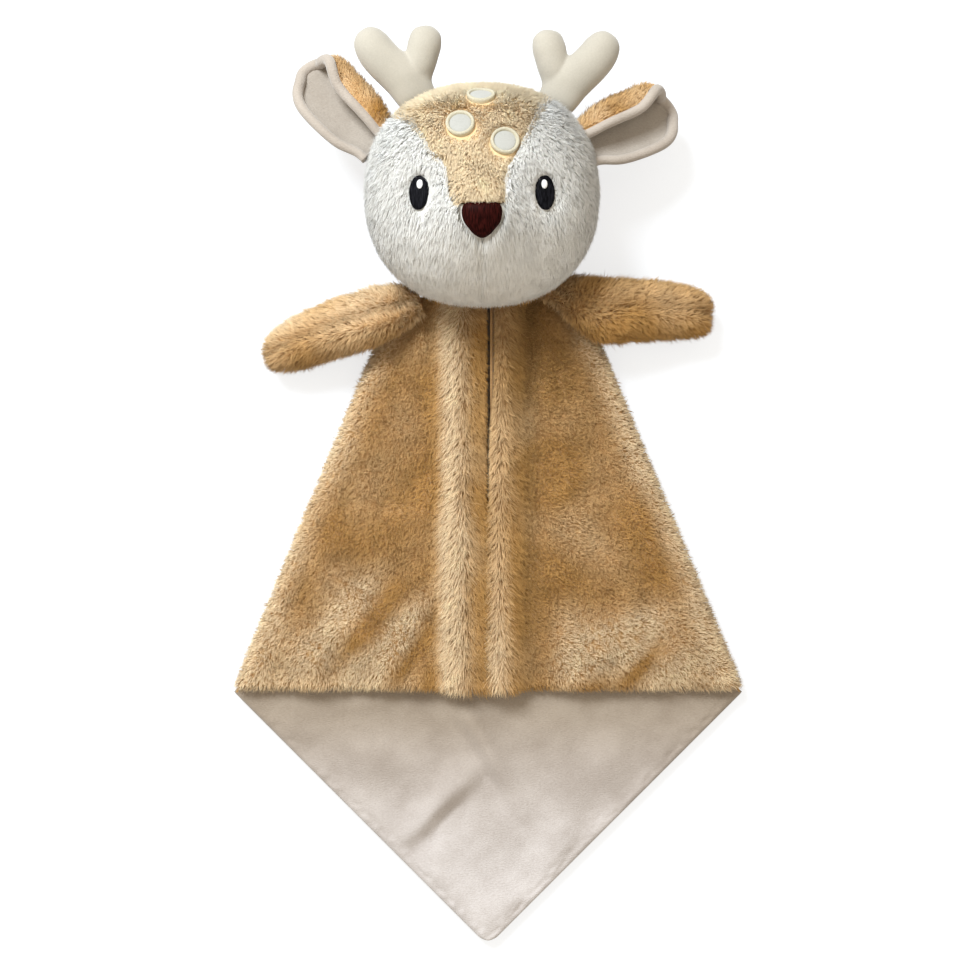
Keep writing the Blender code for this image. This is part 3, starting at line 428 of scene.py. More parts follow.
@dataclass
class Roots:
    """Where fibres stand: places, the cloth's normals there, and shares of the grid's rows and columns."""

    places: Array
    normals: Array
    shares: Array

    def only(self, kept: Array) -> "Roots":
        """The roots where kept is true."""
        return Roots(self.places[kept], self.normals[kept], self.shares[kept])


@dataclass
class Surface:
    """One face of a cloth as a grid of points, rows by columns. kept, if given, leaves out some squares."""

    points: Array
    kept: Optional[Array] = None
    _normals: Optional[Array] = field(default=None, repr=False)

    def facing(self, way: Array) -> "Surface":
        """This surface, with its columns turned round if its faces look against a direction on the whole."""
        _, areas = self._areas()
        return self._turned() if (areas @ np.asarray(way)).sum() < 0 else self

    def outward(self, middle: Array) -> "Surface":
        """This surface, turned so that its faces look away from a point within it."""
        corners, areas = self._areas()
        return self._turned() if (areas * (corners.mean(axis=1) - middle)).sum() < 0 else self

    def _areas(self) -> Tuple[Array, Array]:
        """The corners of each kept square, and twice its area along its normal."""
        corners = self.points.reshape(-1, 3)[self._squares()]
        return corners, np.cross(corners[:, 2] - corners[:, 0], corners[:, 3] - corners[:, 1])

    def _turned(self) -> "Surface":
        """This surface with its faces turned over, by the order of its columns."""
        kept = None if self.kept is None else self.kept[:, ::-1]
        return Surface(self.points[:, ::-1], kept)

    def _squares(self) -> Array:
        """The point numbers of each kept square, anticlockwise seen from outside."""
        rows, columns = self.points.shape[:2]
        number = np.arange(rows * columns).reshape(rows, columns)
        squares = np.stack([number[:-1, :-1], number[1:, :-1], number[1:, 1:], number[:-1, 1:]], axis=-1)
        if self.kept is not None:
            return squares[self.kept]
        return squares.reshape(-1, 4)

    def _merged(self) -> Tuple[Array, Array]:
        """The distinct points, and for each grid point the number of its distinct one."""
        flat = self.points.reshape(-1, 3)
        keys = np.round(flat / MERGE).astype(np.int64)
        _, first, same = np.unique(keys, axis=0, return_index=True, return_inverse=True)
        return flat[first], same.reshape(-1)

    def normals(self) -> Array:
        """The outward normal at each grid point: the mean of its faces, weighed by their areas."""
        if self._normals is None:
            vertices, same = self._merged()
            squares = same[self._squares()]
            corners = vertices[squares]
            areas = np.cross(corners[:, 2] - corners[:, 0], corners[:, 3] - corners[:, 1])
            total = np.zeros_like(vertices)
            for corner in range(4):
                np.add.at(total, squares[:, corner], areas)
            self._normals = unit(total)[same].reshape(self.points.shape)
        return self._normals

    def moved(self, distance: float) -> "Surface":
        """The surface moved along its normals."""
        return Surface(self.points + self.normals() * distance, self.kept)

    def scatter(self, density: float, seed: int) -> Roots:
        """Spreads roots evenly at random.

        Args:
            density: roots to a square metre.
            seed: the random draw's seed.

        Returns:
            The roots, in the order of the grid.
        """
        rng = np.random.default_rng(seed)
        squares = self._squares()
        triangles = np.concatenate([squares[:, [0, 1, 2]], squares[:, [0, 2, 3]]], axis=1).reshape(-1, 3)
        corners = self.points.reshape(-1, 3)[triangles]
        weight = np.linalg.norm(
            np.cross(corners[:, 1] - corners[:, 0], corners[:, 2] - corners[:, 0]), axis=1
        ) / 2
        reach = np.cumsum(weight)
        count = int(reach[-1] * density)
        chosen = np.searchsorted(reach, np.sort(rng.random(count)) * reach[-1]).clip(0, len(reach) - 1)
        first, second = rng.random((2, count))
        over = first + second > 1
        first[over], second[over] = 1 - first[over], 1 - second[over]
        parts = np.stack([1 - first - second, first, second], axis=1)
        rows, columns = self.points.shape[:2]
        grid = np.stack(np.divmod(np.arange(rows * columns), columns), axis=1) / (rows - 1, columns - 1)
        ends = triangles[chosen]
        places = np.einsum("nc,ncd->nd", parts, corners[chosen])
        normals = np.einsum("nc,ncd->nd", parts, self.normals().reshape(-1, 3)[ends])
        return Roots(places, unit(normals), np.einsum("nc,ncd->nd", parts, grid[ends]))

    def cloth(self, name: str, finish: Finish, thickness: Union[float, Array]) -> Piece:
        """Makes a closed sheet that lies inside this surface.

        Args:
            name: the piece's name.
            finish: its finish.
            thickness: its thickness, the same everywhere or one for each grid point. 0 makes the surface
                alone, for forms that are closed already.

        Returns:
            The piece.
        """
        vertices, same = self._merged()
        squares = same[self._squares()]
        faces = [list(dict.fromkeys(square)) for square in squares.tolist()]
        faces = [face for face in faces if len(face) > 2]
        if np.any(thickness):
            inward = np.zeros_like(vertices)
            depth = np.broadcast_to(thickness, self.points.shape[:2])[..., None]
            inward[same] = (self.normals() * depth).reshape(-1, 3)
            count = len(vertices)
            edges = {}
            for face in faces:
                for start, end in zip(face, face[1:] + face[:1]):
                    edges[(start, end)] = True
            rim = [edge for edge in edges if (edge[1], edge[0]) not in edges]
            faces += [[index + count for index in reversed(face)] for face in faces]
            faces += [[end, start, start + count, end + count] for start, end in rim]
            vertices = np.concatenate([vertices, vertices - inward])
        return piece_from(name, vertices, faces, finish)


def closed_tube(line: Array, ring: Array) -> Surface:
    """A tube of rings round the points of a line, closed at both ends on the line."""
    ends = [np.broadcast_to(line[end], (1, ring.shape[1], 3)) for end in (0, -1)]
    return Surface(np.concatenate([ends[0], line[:, None] + ring, ends[1]]))


def piece_from(name: str, vertices: Array, faces: Faces, finish: Finish) -> Piece:
    """A smooth mesh piece of these vertices and faces."""
    used = np.unique([index for face in faces for index in face])
    renumber = np.zeros(len(vertices), int)
    renumber[used] = np.arange(len(used))
    mesh = bpy.data.meshes.new(name)
    mesh.from_pydata(vertices[used].tolist(), [], [renumber[face].tolist() for face in faces])
    mesh.shade_smooth()
    return finished(name, mesh, finish)


# Pile

def creamed(share: Array) -> Array:
    """The factor that takes caramel tips towards cream, by a share for each fibre, as rows of three."""
    return 1 + np.asarray(share)[:, None] * (np.array(CREAM_TIP) / CARAMEL_PILE.tip - 1)


def brushed_to(way: Sequence[float]) -> RootField:
    """A lie of the pile that is the same for every root."""
    return lambda roots: np.tile(way, (len(roots.places), 1))


@dataclass(frozen=True)
class Pile:
    """A plush pile: how long, wide and dense its fibres are, how they stray, and how they gather in tufts.

    tufts holds (size, pull) pairs: fibres lean uphill on a wave field of that size, and so meet in tufts.
    """

    finish: PileFinish
    length: float
    width: float
    density: float
    seed: int
    stray: float = 0.22
    tufts: Tuple[Tuple[float, float], ...] = ((1.7 * MM, 0.34), (4.5 * MM, 0.26), (13 * MM, 0.16))
    floor: float = 0.1 * MM
    bend: float = 0.55
    uneven: float = 0.16
    soft: float = 0.72
    twist: float = 0.5
    waist: float = 0.85
    width_spread: float = 0.2

    def grow(self, name: str, roots: Roots, lie: RootField, tall: Optional[RootField] = None,
             tint: Optional[RootField] = None) -> Piece:
        """Grows a fibre on each root.

        A fibre is a blade of five vertices. It leaves the cloth nearly upright and leans more towards its
        tip: its whole run is the normal plus its lie, and its lower half has only a share of that lie.

        Args:
            name: the piece's name.
            roots: where the fibres stand.
            lie: gives, for roots, which way and how far the pile is brushed, as vectors.
            tall: gives, for roots, the fibres' length as a share of the pile's.
            tint: gives, for roots, the factor by which the tip's colour changes, as rows of three.

        Returns:
            The piece.
        """
        rng = np.random.default_rng(self.seed)
        count = len(roots.places)
        brushed = lie(roots) + rng.normal(size=(count, 3)) * self.stray
        for number, (size, pull) in enumerate(self.tufts):
            brushed = brushed + Waves(size, self.seed + number).slope(roots.places) * pull
        along = (brushed * roots.normals).sum(axis=1, keepdims=True)
        brushed = brushed - roots.normals * along
        length = self.length * np.exp(rng.normal(size=(count, 1)) * self.uneven)
        if tall is not None:
            length = length * np.asarray(tall(roots)).reshape(-1, 1)
        lower = unit(roots.normals + brushed * self.bend)
        upper = unit(roots.normals + brushed * (2 - self.bend))
        middle = roots.places + lower * length / 2
        tip = middle + upper * length / 2
        side = unit(np.cross(lower + upper, roots.normals + rng.normal(size=(count, 3)) * self.twist))
        flat = np.cross(side, lower)
        turned = np.sign((flat * (roots.normals + 0.9 * UP)).sum(axis=1, keepdims=True)) + 0.0
        turned[turned == 0] = 1
        shading = unit(roots.normals * self.soft + flat * turned * (1 - self.soft))
        side = side * turned * self.width / 2 * np.exp(rng.normal(size=(count, 1)) * self.width_spread)
        waist = side * self.waist
        corners = [roots.places - side, roots.places + side, middle - waist, middle + waist, tip]
        blade = np.stack(corners, axis=1)
        blade[..., 2] = np.maximum(blade[..., 2], self.floor)
        return self._piece(name, blade, self._colours(roots, rng, tint), shading)

    def _colours(self, roots: Roots, rng: np.random.Generator, tint: Optional[RootField]) -> Array:
        """Each fibre's colour at its root, its middle and its tip."""
        count = len(roots.places)
        tip = np.tile(self.finish.tip, (count, 1)).astype(float)
        root = np.tile(self.finish.root, (count, 1)).astype(float)
        if tint is not None:
            factor = tint(roots)
            tip = tip * factor
            root = root * (0.4 + 0.6 * factor)
        tip = tip * np.exp(rng.normal(size=(count, 1)) * self.finish.variety)
        tip = tip * (1 + Waves(9 * MM, self.seed + 7, 0.05).at(roots.places)[:, None])
        middle = root * 0.42 + tip * 0.58
        return np.stack([root, root, middle, middle, tip], axis=1).clip(0, 1)

    def _piece(self, name: str, blades: Array, colours: Array, shading: Array) -> Piece:
        """The mesh of all fibres, with their colours and a map on which each has a cell of its own."""
        count = len(blades)
        corners = np.array((0, 1, 3, 2, 2, 3, 4))
        loops = (np.arange(count)[:, None] * 5 + corners).ravel()
        starts = (np.arange(count)[:, None] * 7 + np.array((0, 4))).ravel()
        mesh = bpy.data.meshes.new(name)
        mesh.vertices.add(count * 5)
        mesh.vertices.foreach_set("co", blades.astype(np.float32).ravel())
        mesh.loops.add(count * 7)
        mesh.loops.foreach_set("vertex_index", loops.astype(np.int32))
        mesh.polygons.add(count * 2)
        mesh.polygons.foreach_set("loop_start", starts.astype(np.int32))
        shades = mesh.color_attributes.new("pile_colour", "FLOAT_COLOR", "POINT")
        rgba = np.concatenate([colours, np.ones((count, 5, 1))], axis=2)
        shades.data.foreach_set("color", rgba.astype(np.float32).ravel())
        cells = math.ceil(math.sqrt(count))
        cell = np.stack(np.divmod(np.arange(count), cells)[::-1], axis=1)
        within = np.array(((0.2, 0.1), (0.8, 0.1), (0.25, 0.5), (0.75, 0.5), (0.5, 0.9)))
        spread = (cell[:, None, :] + within[corners]) / cells
        chart = mesh.uv_layers.new(name="OFBake")
        chart.uv.foreach_set("vector", spread.astype(np.float32).ravel())
        mesh.update(calc_edges=True)
        mesh.validate()
        mesh.shade_smooth()
        mesh.normals_split_custom_set_from_vertices(np.repeat(shading, 5, axis=0).astype(np.float32))
        return finished(name, mesh, self.finish)


# Blanket

@dataclass(frozen=True)
class Fold:
    """A soft fold: a bell across the line from start to end, lower towards both ends. Negative sinks."""

    start: Tuple[float, float]
    end: Tuple[float, float]
    height: float
    width: float

    def lift(self, x: Array, y: Array) -> Array:
        """The height that the fold adds at points."""
        start = np.array(self.start)
        along = np.array(self.end) - start
        length = np.linalg.norm(along)
        share = ((x - start[0]) * along[0] + (y - start[1]) * along[1]) / length ** 2
        beyond = np.maximum(np.maximum(-share, share - 1), 0) * length
        across = ((x - start[0]) * along[1] - (y - start[1]) * along[0]) / length
        fading = bell(share - 0.5, 0.45)
        return self.height * fading * np.exp(-(across ** 2 + beyond ** 2) / (2 * self.width ** 2))


def folds(*rows: Tuple[float, ...], high: float = MM) -> Tuple[Fold, ...]:
    """Folds from rows of their start, end, height and width, in millimetres. high is the heights' unit."""
    return tuple(
        Fold((x * MM, y * MM), (end_x * MM, end_y * MM), height * high, width * MM)
        for x, y, end_x, end_y, height, width in rows
    )


@dataclass(frozen=True)
class Band:
    """A band along a folded side that paints highlight or shade on the pile: how strong it is, its middle's x
    and its width.
    """

    strength: float
    middle: float
    width: float

    def at(self, x: Array) -> Array:
        """The band's strength at x."""
        return self.strength * bell(x - self.middle, self.width)


@dataclass
class Blanket:
    """The lined plush square, folded in at both sides. The back is whole, and each side is folded over at its
    crease.

    brushed holds painted streaks along soft folds: a height is a share of cream for painted highlight, and a
    negative one darkens for painted shade.
    outward_lie and downward_lie say how far the left and the right side's pile leans. field_lie scales them
    between the rolls and the edges, and roll_lie is the lean on the rolls, both sideways and downwards.
    """

    side: float = 300 * MM
    fold_angle: float = 22.5 * DEG
    top: float = 102.7 * MM
    tip_radius: float = 8 * MM
    fold_height: float = 7.45 * MM
    cloth_radius: float = 5.3 * MM
    pile_depth: float = 2.1 * MM
    under_height: float = 2.1 * MM
    velour_top: float = 7.3 * MM
    seam_depth: float = 1.6 * MM
    seam_height: float = 5.2 * MM
    seam_inset: float = 0.5 * MM
    folded_velour: float = 8 * MM
    bend_in: float = 3.3 * MM
    bend_half: Tuple[float, float] = (0.35 * MM, 0.75 * MM)
    cloth: float = 0.9 * MM
    velour: float = 1.2 * MM
    hem_pile: float = 3 * MM
    roll_edges: Tuple[float, float] = (13 * MM, 6.5 * MM)
    roll_widths: Tuple[float, float] = (9.5 * MM, 6.5 * MM)
    roll_height: float = 2.2 * MM
    roll_swell: float = 0.15
    crest_height: float = 1.5 * MM
    crest_place: float = 1.5 * MM
    crest_share: float = 0.55
    valley: float = -0.9 * MM
    valley_place: float = 14 * MM
    valley_width: float = 5 * MM
    ripples: Tuple[Waves, ...] = (Waves(34 * MM, 41, 0.8 * MM), Waves(15 * MM, 42, 0.35 * MM))
    corner_waves: Tuple[Waves, ...] = (Waves(31 * MM, 52, 0.8 * MM), Waves(11 * MM, 53, 0.07 * MM))
    pucker: Waves = Waves(5 * MM, 54, 0.25 * MM)
    strip: float = 2.3 * MM
    blend_from: float = 140 * MM
    blend_to: float = 215 * MM
    corner_folds: Tuple[Fold, ...] = folds(
        (-6, -124, -44, -163, 5.2, 4.4),
        (-1, -131, -39, -169, -2.2, 3.4),
        (-14, -92, 17, -146, 3.6, 4.2),
        (-19, -96, 11, -150, -2.4, 3.2),
        (38, -142, 26, -176, 3.0, 7),
        (-52, -104, -44, -138, 1.6, 8),
        (66, -98, 58, -128, 1.4, 7),
    )
    flap_folds: Tuple[Fold, ...] = folds(
        (39, -81, 81, -48, 3.3, 9),
        (78, -84, 93, -60, 2.4, 6.6),
        (-39, -81, -81, -48, 3.3, 9),
        (-78, -84, -93, -60, 2.4, 6.6),
    )
    # Painted highlight and shade along soft folds, as paler or darker tips.
    brushed: Tuple[Fold, ...] = folds(
        (32, -78, 88, -47, 1.0, 5.5),
        (78, -90, 96, -68, 0.7, 4.5),
        (62, -86, 82, -64, -1.0, 2.8),
        (34, -90, 62, -80, -0.5, 3),
        (-64, -84, -23, -34, 1.0, 4),
        (-90, -74, -50, -26, 0.85, 4.5),
        (-76, -78, -42, -36, -0.7, 3),
        (-48, -86, -28, -58, -0.7, 3),
        high=1,
    )
    outward_lie: Tuple[float, float] = (0.42, 0.75)
    downward_lie: Tuple[float, float] = (0.75, 0.35)
    field_lie: Tuple[float, float] = (0.55, 0.6)
    roll_lie: Tuple[float, float] = (0.62, 1.05)
    hem_lie: float = 0.5
    rim_lie: float = 0.3
    parting_place: float = 0.85
    parting_width: float = 2.5 * MM
    roll_longer: float = 0.8
    pinch: float = 0.82
    # Paler tips on the rolls, strengthened as painted highlight on the slopes that catch the lamp.
    roll_cream_highlight: Tuple[Band, Band] = (Band(1, -16 * MM, 5.5 * MM), Band(1, 5.5 * MM, 3.2 * MM))
    hem_cream: float = 0.62
    rim_cream: float = 0.95
    field_cream: float = 0.1
    patches: Waves = Waves(36 * MM, 61, 0.12)
    # Painted shade on the pile: on the left roll's inner slope, in the valley beside the right roll, and over
    # the right side's upper field.
    shade_bands: Tuple[Band, Band] = (Band(0.04, -4 * MM, 4 * MM), Band(0.28, 19 * MM, 6 * MM))
    right_shade: float = 0.17
    pale_low: Triple = (0.6, 0.76, 1.02)
    # Painted shade: how much darker and warmer the velour is just below the folded sides' hem.
    shade_under_hem: Triple = (0.1, 0.13, 0.2)
    # Painted warm bounce light on the velour strip that lies in the shade of the gap between the folded
    # sides.
    edge_bounce_light: Triple = (0.75, 0.27, -0.25)
    pile: Pile = Pile(
        CARAMEL_PILE, 3.3 * MM, 0.275 * MM, 5.0e6, seed=11, stray=0.3,
        tufts=((1.3 * MM, 0.2), (4 * MM, 0.2), (13 * MM, 0.16)), soft=0.82,
    )
    back_pile: Pile = Pile(CARAMEL_PILE, 3.6 * MM, 0.64 * MM, 0.9e6, seed=21, stray=0.3)

    def __post_init__(self) -> None:
        """Works out the places of the apex, the hem and the open corner's rounded tip."""
        self.apex = self.side / math.sqrt(2)
        self.hem = self.apex - self.side
        self.tip_middle = -self.apex + self.tip_radius * math.sqrt(2)

    def half_width(self, y: Array) -> Array:
        """Half the folded blanket's width at y: the folded part, the open corner and its rounded tip."""
        y = np.asarray(y, float)
        folded = (self.apex - y) * math.tan(self.fold_angle)
        open_part = y + self.apex
        rounded = np.sqrt(np.maximum(self.tip_radius ** 2 - (y - self.tip_middle) ** 2, 0))
        corner = np.where(y > self.tip_middle - self.tip_radius / math.sqrt(2), open_part, rounded)
        return np.where(y >= self.hem, folded, corner)

    def front_height(self, side: int, x: Array, y: Array) -> Array:
        """How far a folded side's cloth lies above its flat height: its edge's roll, folds and ripples."""
        edge = np.abs(x)
        number = int(side > 0)
        swell = 1 + Waves(60 * MM, 31 + number, self.roll_swell).at(xyz(0, y, 0))
        beyond = edge - self.roll_edges[number]
        width = self.roll_widths[number]
        roll = self.roll_height * bell(beyond, width)
        roll += self.crest_height * bell(beyond - self.crest_place, self.crest_share * width)
        roll += self.valley * bell(beyond - self.valley_place, self.valley_width)
        lift = roll * swell + sum(fold.lift(x, y) for fold in self.flap_folds)
        ripples = sum(waves.at(xyz(x, y, 0)) for waves in self.ripples)
        return lift + ease(14 * MM, 34 * MM, edge) * ripples

    def stripped(self, side: int, y: Array) -> Array:
        """How far the plush stands back from the right side's upper edge, round which the velour rolls."""
        return self.strip * ease(32 * MM, 66 * MM, y) * (side > 0)

    def front(self, side: int) -> Surface:
        """The plush face of one folded side: round the crease, flat, and down at its free edge and its hem.

        Args:
            side: -1 for the viewer's left, 1 for the right.

        Returns:
            The cloth's outer face, from the neck to the hem along its rows.
        """
        end = self.hem + self.hem_pile
        near_end = end + np.array((2, 1.2, 0.6, 0.2, 0)) * MM
        ys = np.concatenate([np.linspace(self.top, end + 3 * MM, 88), near_end])
        turn = np.linspace(0, math.pi / 2, 8)
        round_in = self.pile_depth + self.cloth_radius * (1 - np.cos(turn))
        round_up = self.fold_height + self.cloth_radius * np.sin(turn)
        half = self.half_width(ys)[:, None]
        back_from = self.stripped(side, ys)[:, None]
        free = np.array((3.2, 2.4, 1.8, 1.3, 1.0, 0.8)) * MM + back_from
        flat = np.linspace(0, 1, 60)[1:-1]
        across = round_in[-1] + (half - round_in[-1] - free[:, :1]) * flat
        inward = np.concatenate([np.broadcast_to(round_in, (len(ys), 8)), across, half - free], axis=1)
        x = side * (half - inward)
        y = np.broadcast_to(ys[:, None], x.shape)
        flat_top = self.fold_height + self.cloth_radius
        z = np.full(x.shape, flat_top)
        z[:, :8] = round_up
        z += self.front_height(side, x, y) * ease(round_in[-1], round_in[-1] + 12 * MM, inward)
        drop = np.maximum(fall(np.abs(x) - 0.8 * MM - back_from, 2.2 * MM), fall(y - end, 2 * MM))
        return Surface(xyz(x, y, z - drop)).facing(UP)

    def front_velour(self, side: int) -> Surface:
        """The velour face of one folded side, which looks down."""
        ys = np.linspace(self.top - 1.5 * MM, self.hem + self.hem_pile, 60)
        half = self.half_width(ys)[:, None]
        inward = self.bend_in + (half - self.bend_in - 1.0 * MM) * np.sin(np.linspace(0, math.pi / 2, 70))
        x = side * (half - inward)
        y = np.broadcast_to(ys[:, None], x.shape)
        lift = self.front_height(side, x, y) * ease(7 * MM, 20 * MM, inward)
        lift *= ease(1 * MM, 9 * MM, np.abs(x)) * ease(0, 10 * MM, y - self.hem)
        rolled = 1 - ease(1.0 * MM, 2.2 * MM + self.strip, np.abs(x))
        z = self.folded_velour + np.maximum(lift * 0.8, 0) + 2.1 * self.stripped(side, y) * rolled
        return Surface(xyz(x, y, z)).facing(-UP)

    def rows(self) -> Array:
        """The y of the back's rows: even in the fold, closer at the hem and round the open corner's tip."""
        bottom = self.tip_middle - self.tip_radius
        return np.concatenate(
            [
                np.linspace(self.top, self.hem + 4 * MM, 60),
                np.linspace(self.hem + 3 * MM, self.tip_middle, 110),
                self.tip_middle - self.tip_radius * np.sin(np.linspace(0, math.pi / 2, 14)[1:-1]),
                [bottom + 0.05 * MM],
            ]
        )

    def back(self) -> Surface:
        """The back's plush face, which looks down. It turns up at the creases and the open corner's seam."""
        ys = self.rows()
        opened = 1 - ease(self.hem - 6 * MM, self.hem + 2 * MM, ys)[:, None]
        half = self.half_width(ys)[:, None]
        depth = self.pile_depth + (self.seam_depth - self.pile_depth) * opened
        edge_height = self.fold_height + (self.seam_height - self.fold_height) * opened
        turn = np.linspace(0, math.pi / 2, 7)
        inward = np.minimum(depth + self.cloth_radius * (1 - np.cos(turn)), half * 0.98)
        height = edge_height + (self.under_height - edge_height) * np.sin(turn)
        inner = inward[:, -1:]
        flat = np.linspace(-1, 1, 60)[1:-1]
        x = np.concatenate([-(half - inward), (half - inner) * flat, (half - inward)[:, ::-1]], axis=1)
        z = np.concatenate([height, np.full((len(ys), 58), self.under_height), height[:, ::-1]], axis=1)
        y = np.broadcast_to(ys[:, None], x.shape)
        return Surface(xyz(x, y, z)).facing(-UP)

    def back_velour(self) -> Surface:
        """The velour face of the back: flat under the folded sides, folded softly in the open corner."""
        ys = self.rows()
        ys[0] = self.top - 1.5 * MM
        opened = 1 - ease(self.hem - 1 * MM, self.hem + 3 * MM, ys)[:, None]
        half = self.half_width(ys)[:, None]
        inset = self.bend_in + (self.seam_inset - self.bend_in) * opened
        reach = np.maximum(half - inset, 0.2 * MM)
        near = 1 - np.array((0, 0.15, 0.5, 1.1, 1.9, 3.0)) * MM / np.maximum(reach, 8 * MM)
        flat = np.linspace(-1, 1, 170)[1:-1] * near[:, -1:]
        share = np.concatenate([-near, flat, near[:, ::-1]], axis=1)
        x = reach * share
        y = np.broadcast_to(ys[:, None], x.shape)
        places = xyz(x, y, 0)
        lift = sum(fold.lift(x, y) for fold in self.corner_folds)
        for waves in self.corner_waves:
            lift = lift + waves.at(places)
        to_edge = (reach - np.abs(x)) / math.sqrt(2)
        lift = lift * (1 - ease(self.hem - 14 * MM, self.hem, y)) * ease(1 * MM, 9 * MM, to_edge)
        drop = fall(to_edge, 2.4 * MM) * opened
        pucker = self.pucker.at(places) * bell(to_edge - 3.2 * MM, 2 * MM) * opened
        z = self.velour_top + np.maximum(lift, -1.2 * MM) - drop + pucker
        return Surface(xyz(x, y, z)).facing(UP)

    def front_lie(self, side: int) -> RootField:
        """How one folded side's pile is brushed: down and outwards, and parted along the roll's crest."""
        number = int(side > 0)
        crest = self.roll_edges[number]
        outward = self.outward_lie[number] * self.field_lie[0]
        fall_down = self.downward_lie[number] * self.field_lie[1]

        def lie(roots: Roots) -> Array:
            """Which way the roots' fibres lean."""
            x, y = roots.places[:, 0], roots.places[:, 1]
            edge = np.abs(x)
            on_roll = 1 - ease(crest + 6 * MM, crest + 18 * MM, edge)
            parting = np.tanh((edge - self.parting_place * crest) / self.parting_width)
            sideways = side * (outward * (1 - on_roll) + self.roll_lie[0] * parting * on_roll)
            downward = -(fall_down * (1 - on_roll) + self.roll_lie[1] * on_roll)
            hem = 1 - ease(self.hem + 3 * MM, self.hem + 16 * MM, y)
            downward = downward - self.hem_lie * hem
            inward = self.half_width(y) - edge
            rim = 1 - ease(5 * MM, 14 * MM, inward)
            sideways = sideways + side * self.rim_lie * rim
            return xyz(sideways, downward, 0)

        return lie

    def front_tall(self, side: int) -> RootField:
        """The pile's length on one folded side: longer on the roll, short where the edges meet."""
        crest = self.roll_edges[int(side > 0)]

        def tall(roots: Roots) -> Array:
            """The roots' fibre length as a share of the pile's."""
            edge = np.abs(roots.places[:, 0])
            y = roots.places[:, 1]
            on_roll = 1 - ease(crest + 4 * MM, crest + 13 * MM, edge)
            open_gap = ease(-6 * MM, 10 * MM, y)
            from_edge = edge - self.stripped(side, y)
            pinched = 1 - self.pinch * (1 - ease(0.9 * MM, 4.5 * MM, from_edge)) * open_gap
            return (1 + self.roll_longer * on_roll) * pinched

        return tall

    def front_tint(self, roots: Roots) -> Array:
        """The tips' colour factor: paler tips on the rolls, strengthened as painted highlight where they
        catch the lamp; cream by the hem and the outer edges, golden brown between; painted highlight and
        shade along soft folds; painted shade beside the rolls and over the right side's upper field.
        """
        x, y = roots.places[:, 0], roots.places[:, 1]
        low = 1 - ease(-90 * MM, 40 * MM, y)
        inward = self.half_width(y) - np.abs(x)
        # Paler tips on the rolls, strengthened as painted highlight where the rolls catch the lamp.
        left_roll, right_roll = (band.at(x) for band in self.roll_cream_highlight)
        cream = (1.1 + 0.2 * low) * left_roll
        cream = cream + (0.25 + 0.65 * low) * right_roll
        field = ease(26 * MM, 40 * MM, np.abs(x))
        cream = cream + field * self.hem_cream * (1 - ease(12 * MM, 62 * MM, y - self.hem))
        cream = cream + self.rim_cream * (1 - ease(2 * MM, 18 * MM, inward))
        cream = cream + self.field_cream * field + self.patches.at(roots.places)
        # Painted highlight and shade along soft folds.
        cream = cream + sum(streak.lift(x, y) for streak in self.brushed)
        # Painted shade: on the left roll's inner slope, in the valley beside the right roll and over the
        # right side's upper field.
        painted_shade = sum(band.at(x) for band in self.shade_bands)
        painted_shade = painted_shade + self.right_shade * ease(20 * MM, 60 * MM, y) * (x > 0)
        cream = cream.clip(0, 1)
        return creamed(cream) * (1 - painted_shade * (1 - cream))[:, None]

    def velour_tint(self, places: Array) -> Array:
        """The velour's colour factor: painted warm shade just below the hem, painted warm bounce light on the
        strip beside the gap between the folded sides, and paler lower down.
        """
        low = 1 - ease(self.hem - 95 * MM, self.hem - 8 * MM, places[:, 1])[:, None]
        # Painted shade just below the hem, where the folded sides overhang the velour.
        under = 1 - ease(0, 40 * MM, self.hem - places[:, 1])[:, None]
        # Painted warm bounce light on the velour strip in the gap's shade.
        edge = bell(places[:, 0] - 1 * MM, 2.2 * MM) * ease(28 * MM, 46 * MM, places[:, 1])
        edge = edge * ease(self.fold_height + 0.2 * MM, self.fold_height + 1.6 * MM, places[:, 2])
        factor = 1 + low * np.array(self.pale_low) - under * np.array(self.shade_under_hem)
        return factor + edge[:, None] * np.array(self.edge_bounce_light)

    def build(self) -> None:
        """Builds the back and both folded sides, hides the model's parts that they replace, and hangs the
        back's pieces on the blanket's body.
        """
        flat_area = 2 * self._half_area(-self.apex, self.top)
        back = self.back()
        roots = back.scatter(self.back_pile.density, 22)
        y = roots.places[:, 1]
        to_edge = self.half_width(y) - np.abs(roots.places[:, 0])
        roots = roots.only((to_edge > 4.5 * MM) | (y > self.hem + 4 * MM))
        under = self.back_pile.grow("back_pile", roots, self._back_lie, self._back_tall)
        cloth = back.cloth("back_cloth", CARAMEL_CLOTH, self.cloth)
        velour = self.back_velour().cloth("back_velour", CREAM_VELOUR, self.velour)
        give_tint(velour, self.velour_tint)
        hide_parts("blanket_back_plush")
        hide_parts("blanket_back_lining")
        for piece in (under, cloth, velour):
            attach(piece, "blanket")
        log.info("back: %d faces", len(cloth.data.polygons) + len(velour.data.polygons))
        for side, word in SIDES:
            self._build_side(side, word)

    def _half_area(self, low: float, high: float) -> float:
        """The area of half the folded blanket between two heights."""
        heights = np.linspace(low, high, 4001)
        return float(self.half_width(heights).mean() * (high - low))

    def _back_lie(self, roots: Roots) -> Array:
        """The back's pile lies pressed outwards under the blanket's weight."""
        x, y = roots.places[:, 0], roots.places[:, 1]
        under = roots.normals[:, 2] < -0.5
        away = unit(xyz(x * 0.6, y * 0.2 - 60 * MM, 0))
        return away * np.where(under, 1.15, 0.25)[:, None]

    def _back_tall(self, roots: Roots) -> Array:
        """The back's pile is short at the open corner's seam, where the velour rolls round it."""
        y = roots.places[:, 1]
        to_edge = self.half_width(y) - np.abs(roots.places[:, 0])
        return np.where(y < self.hem + 4 * MM, 0.45 + 0.55 * ease(5 * MM, 16 * MM, to_edge), 1.0)

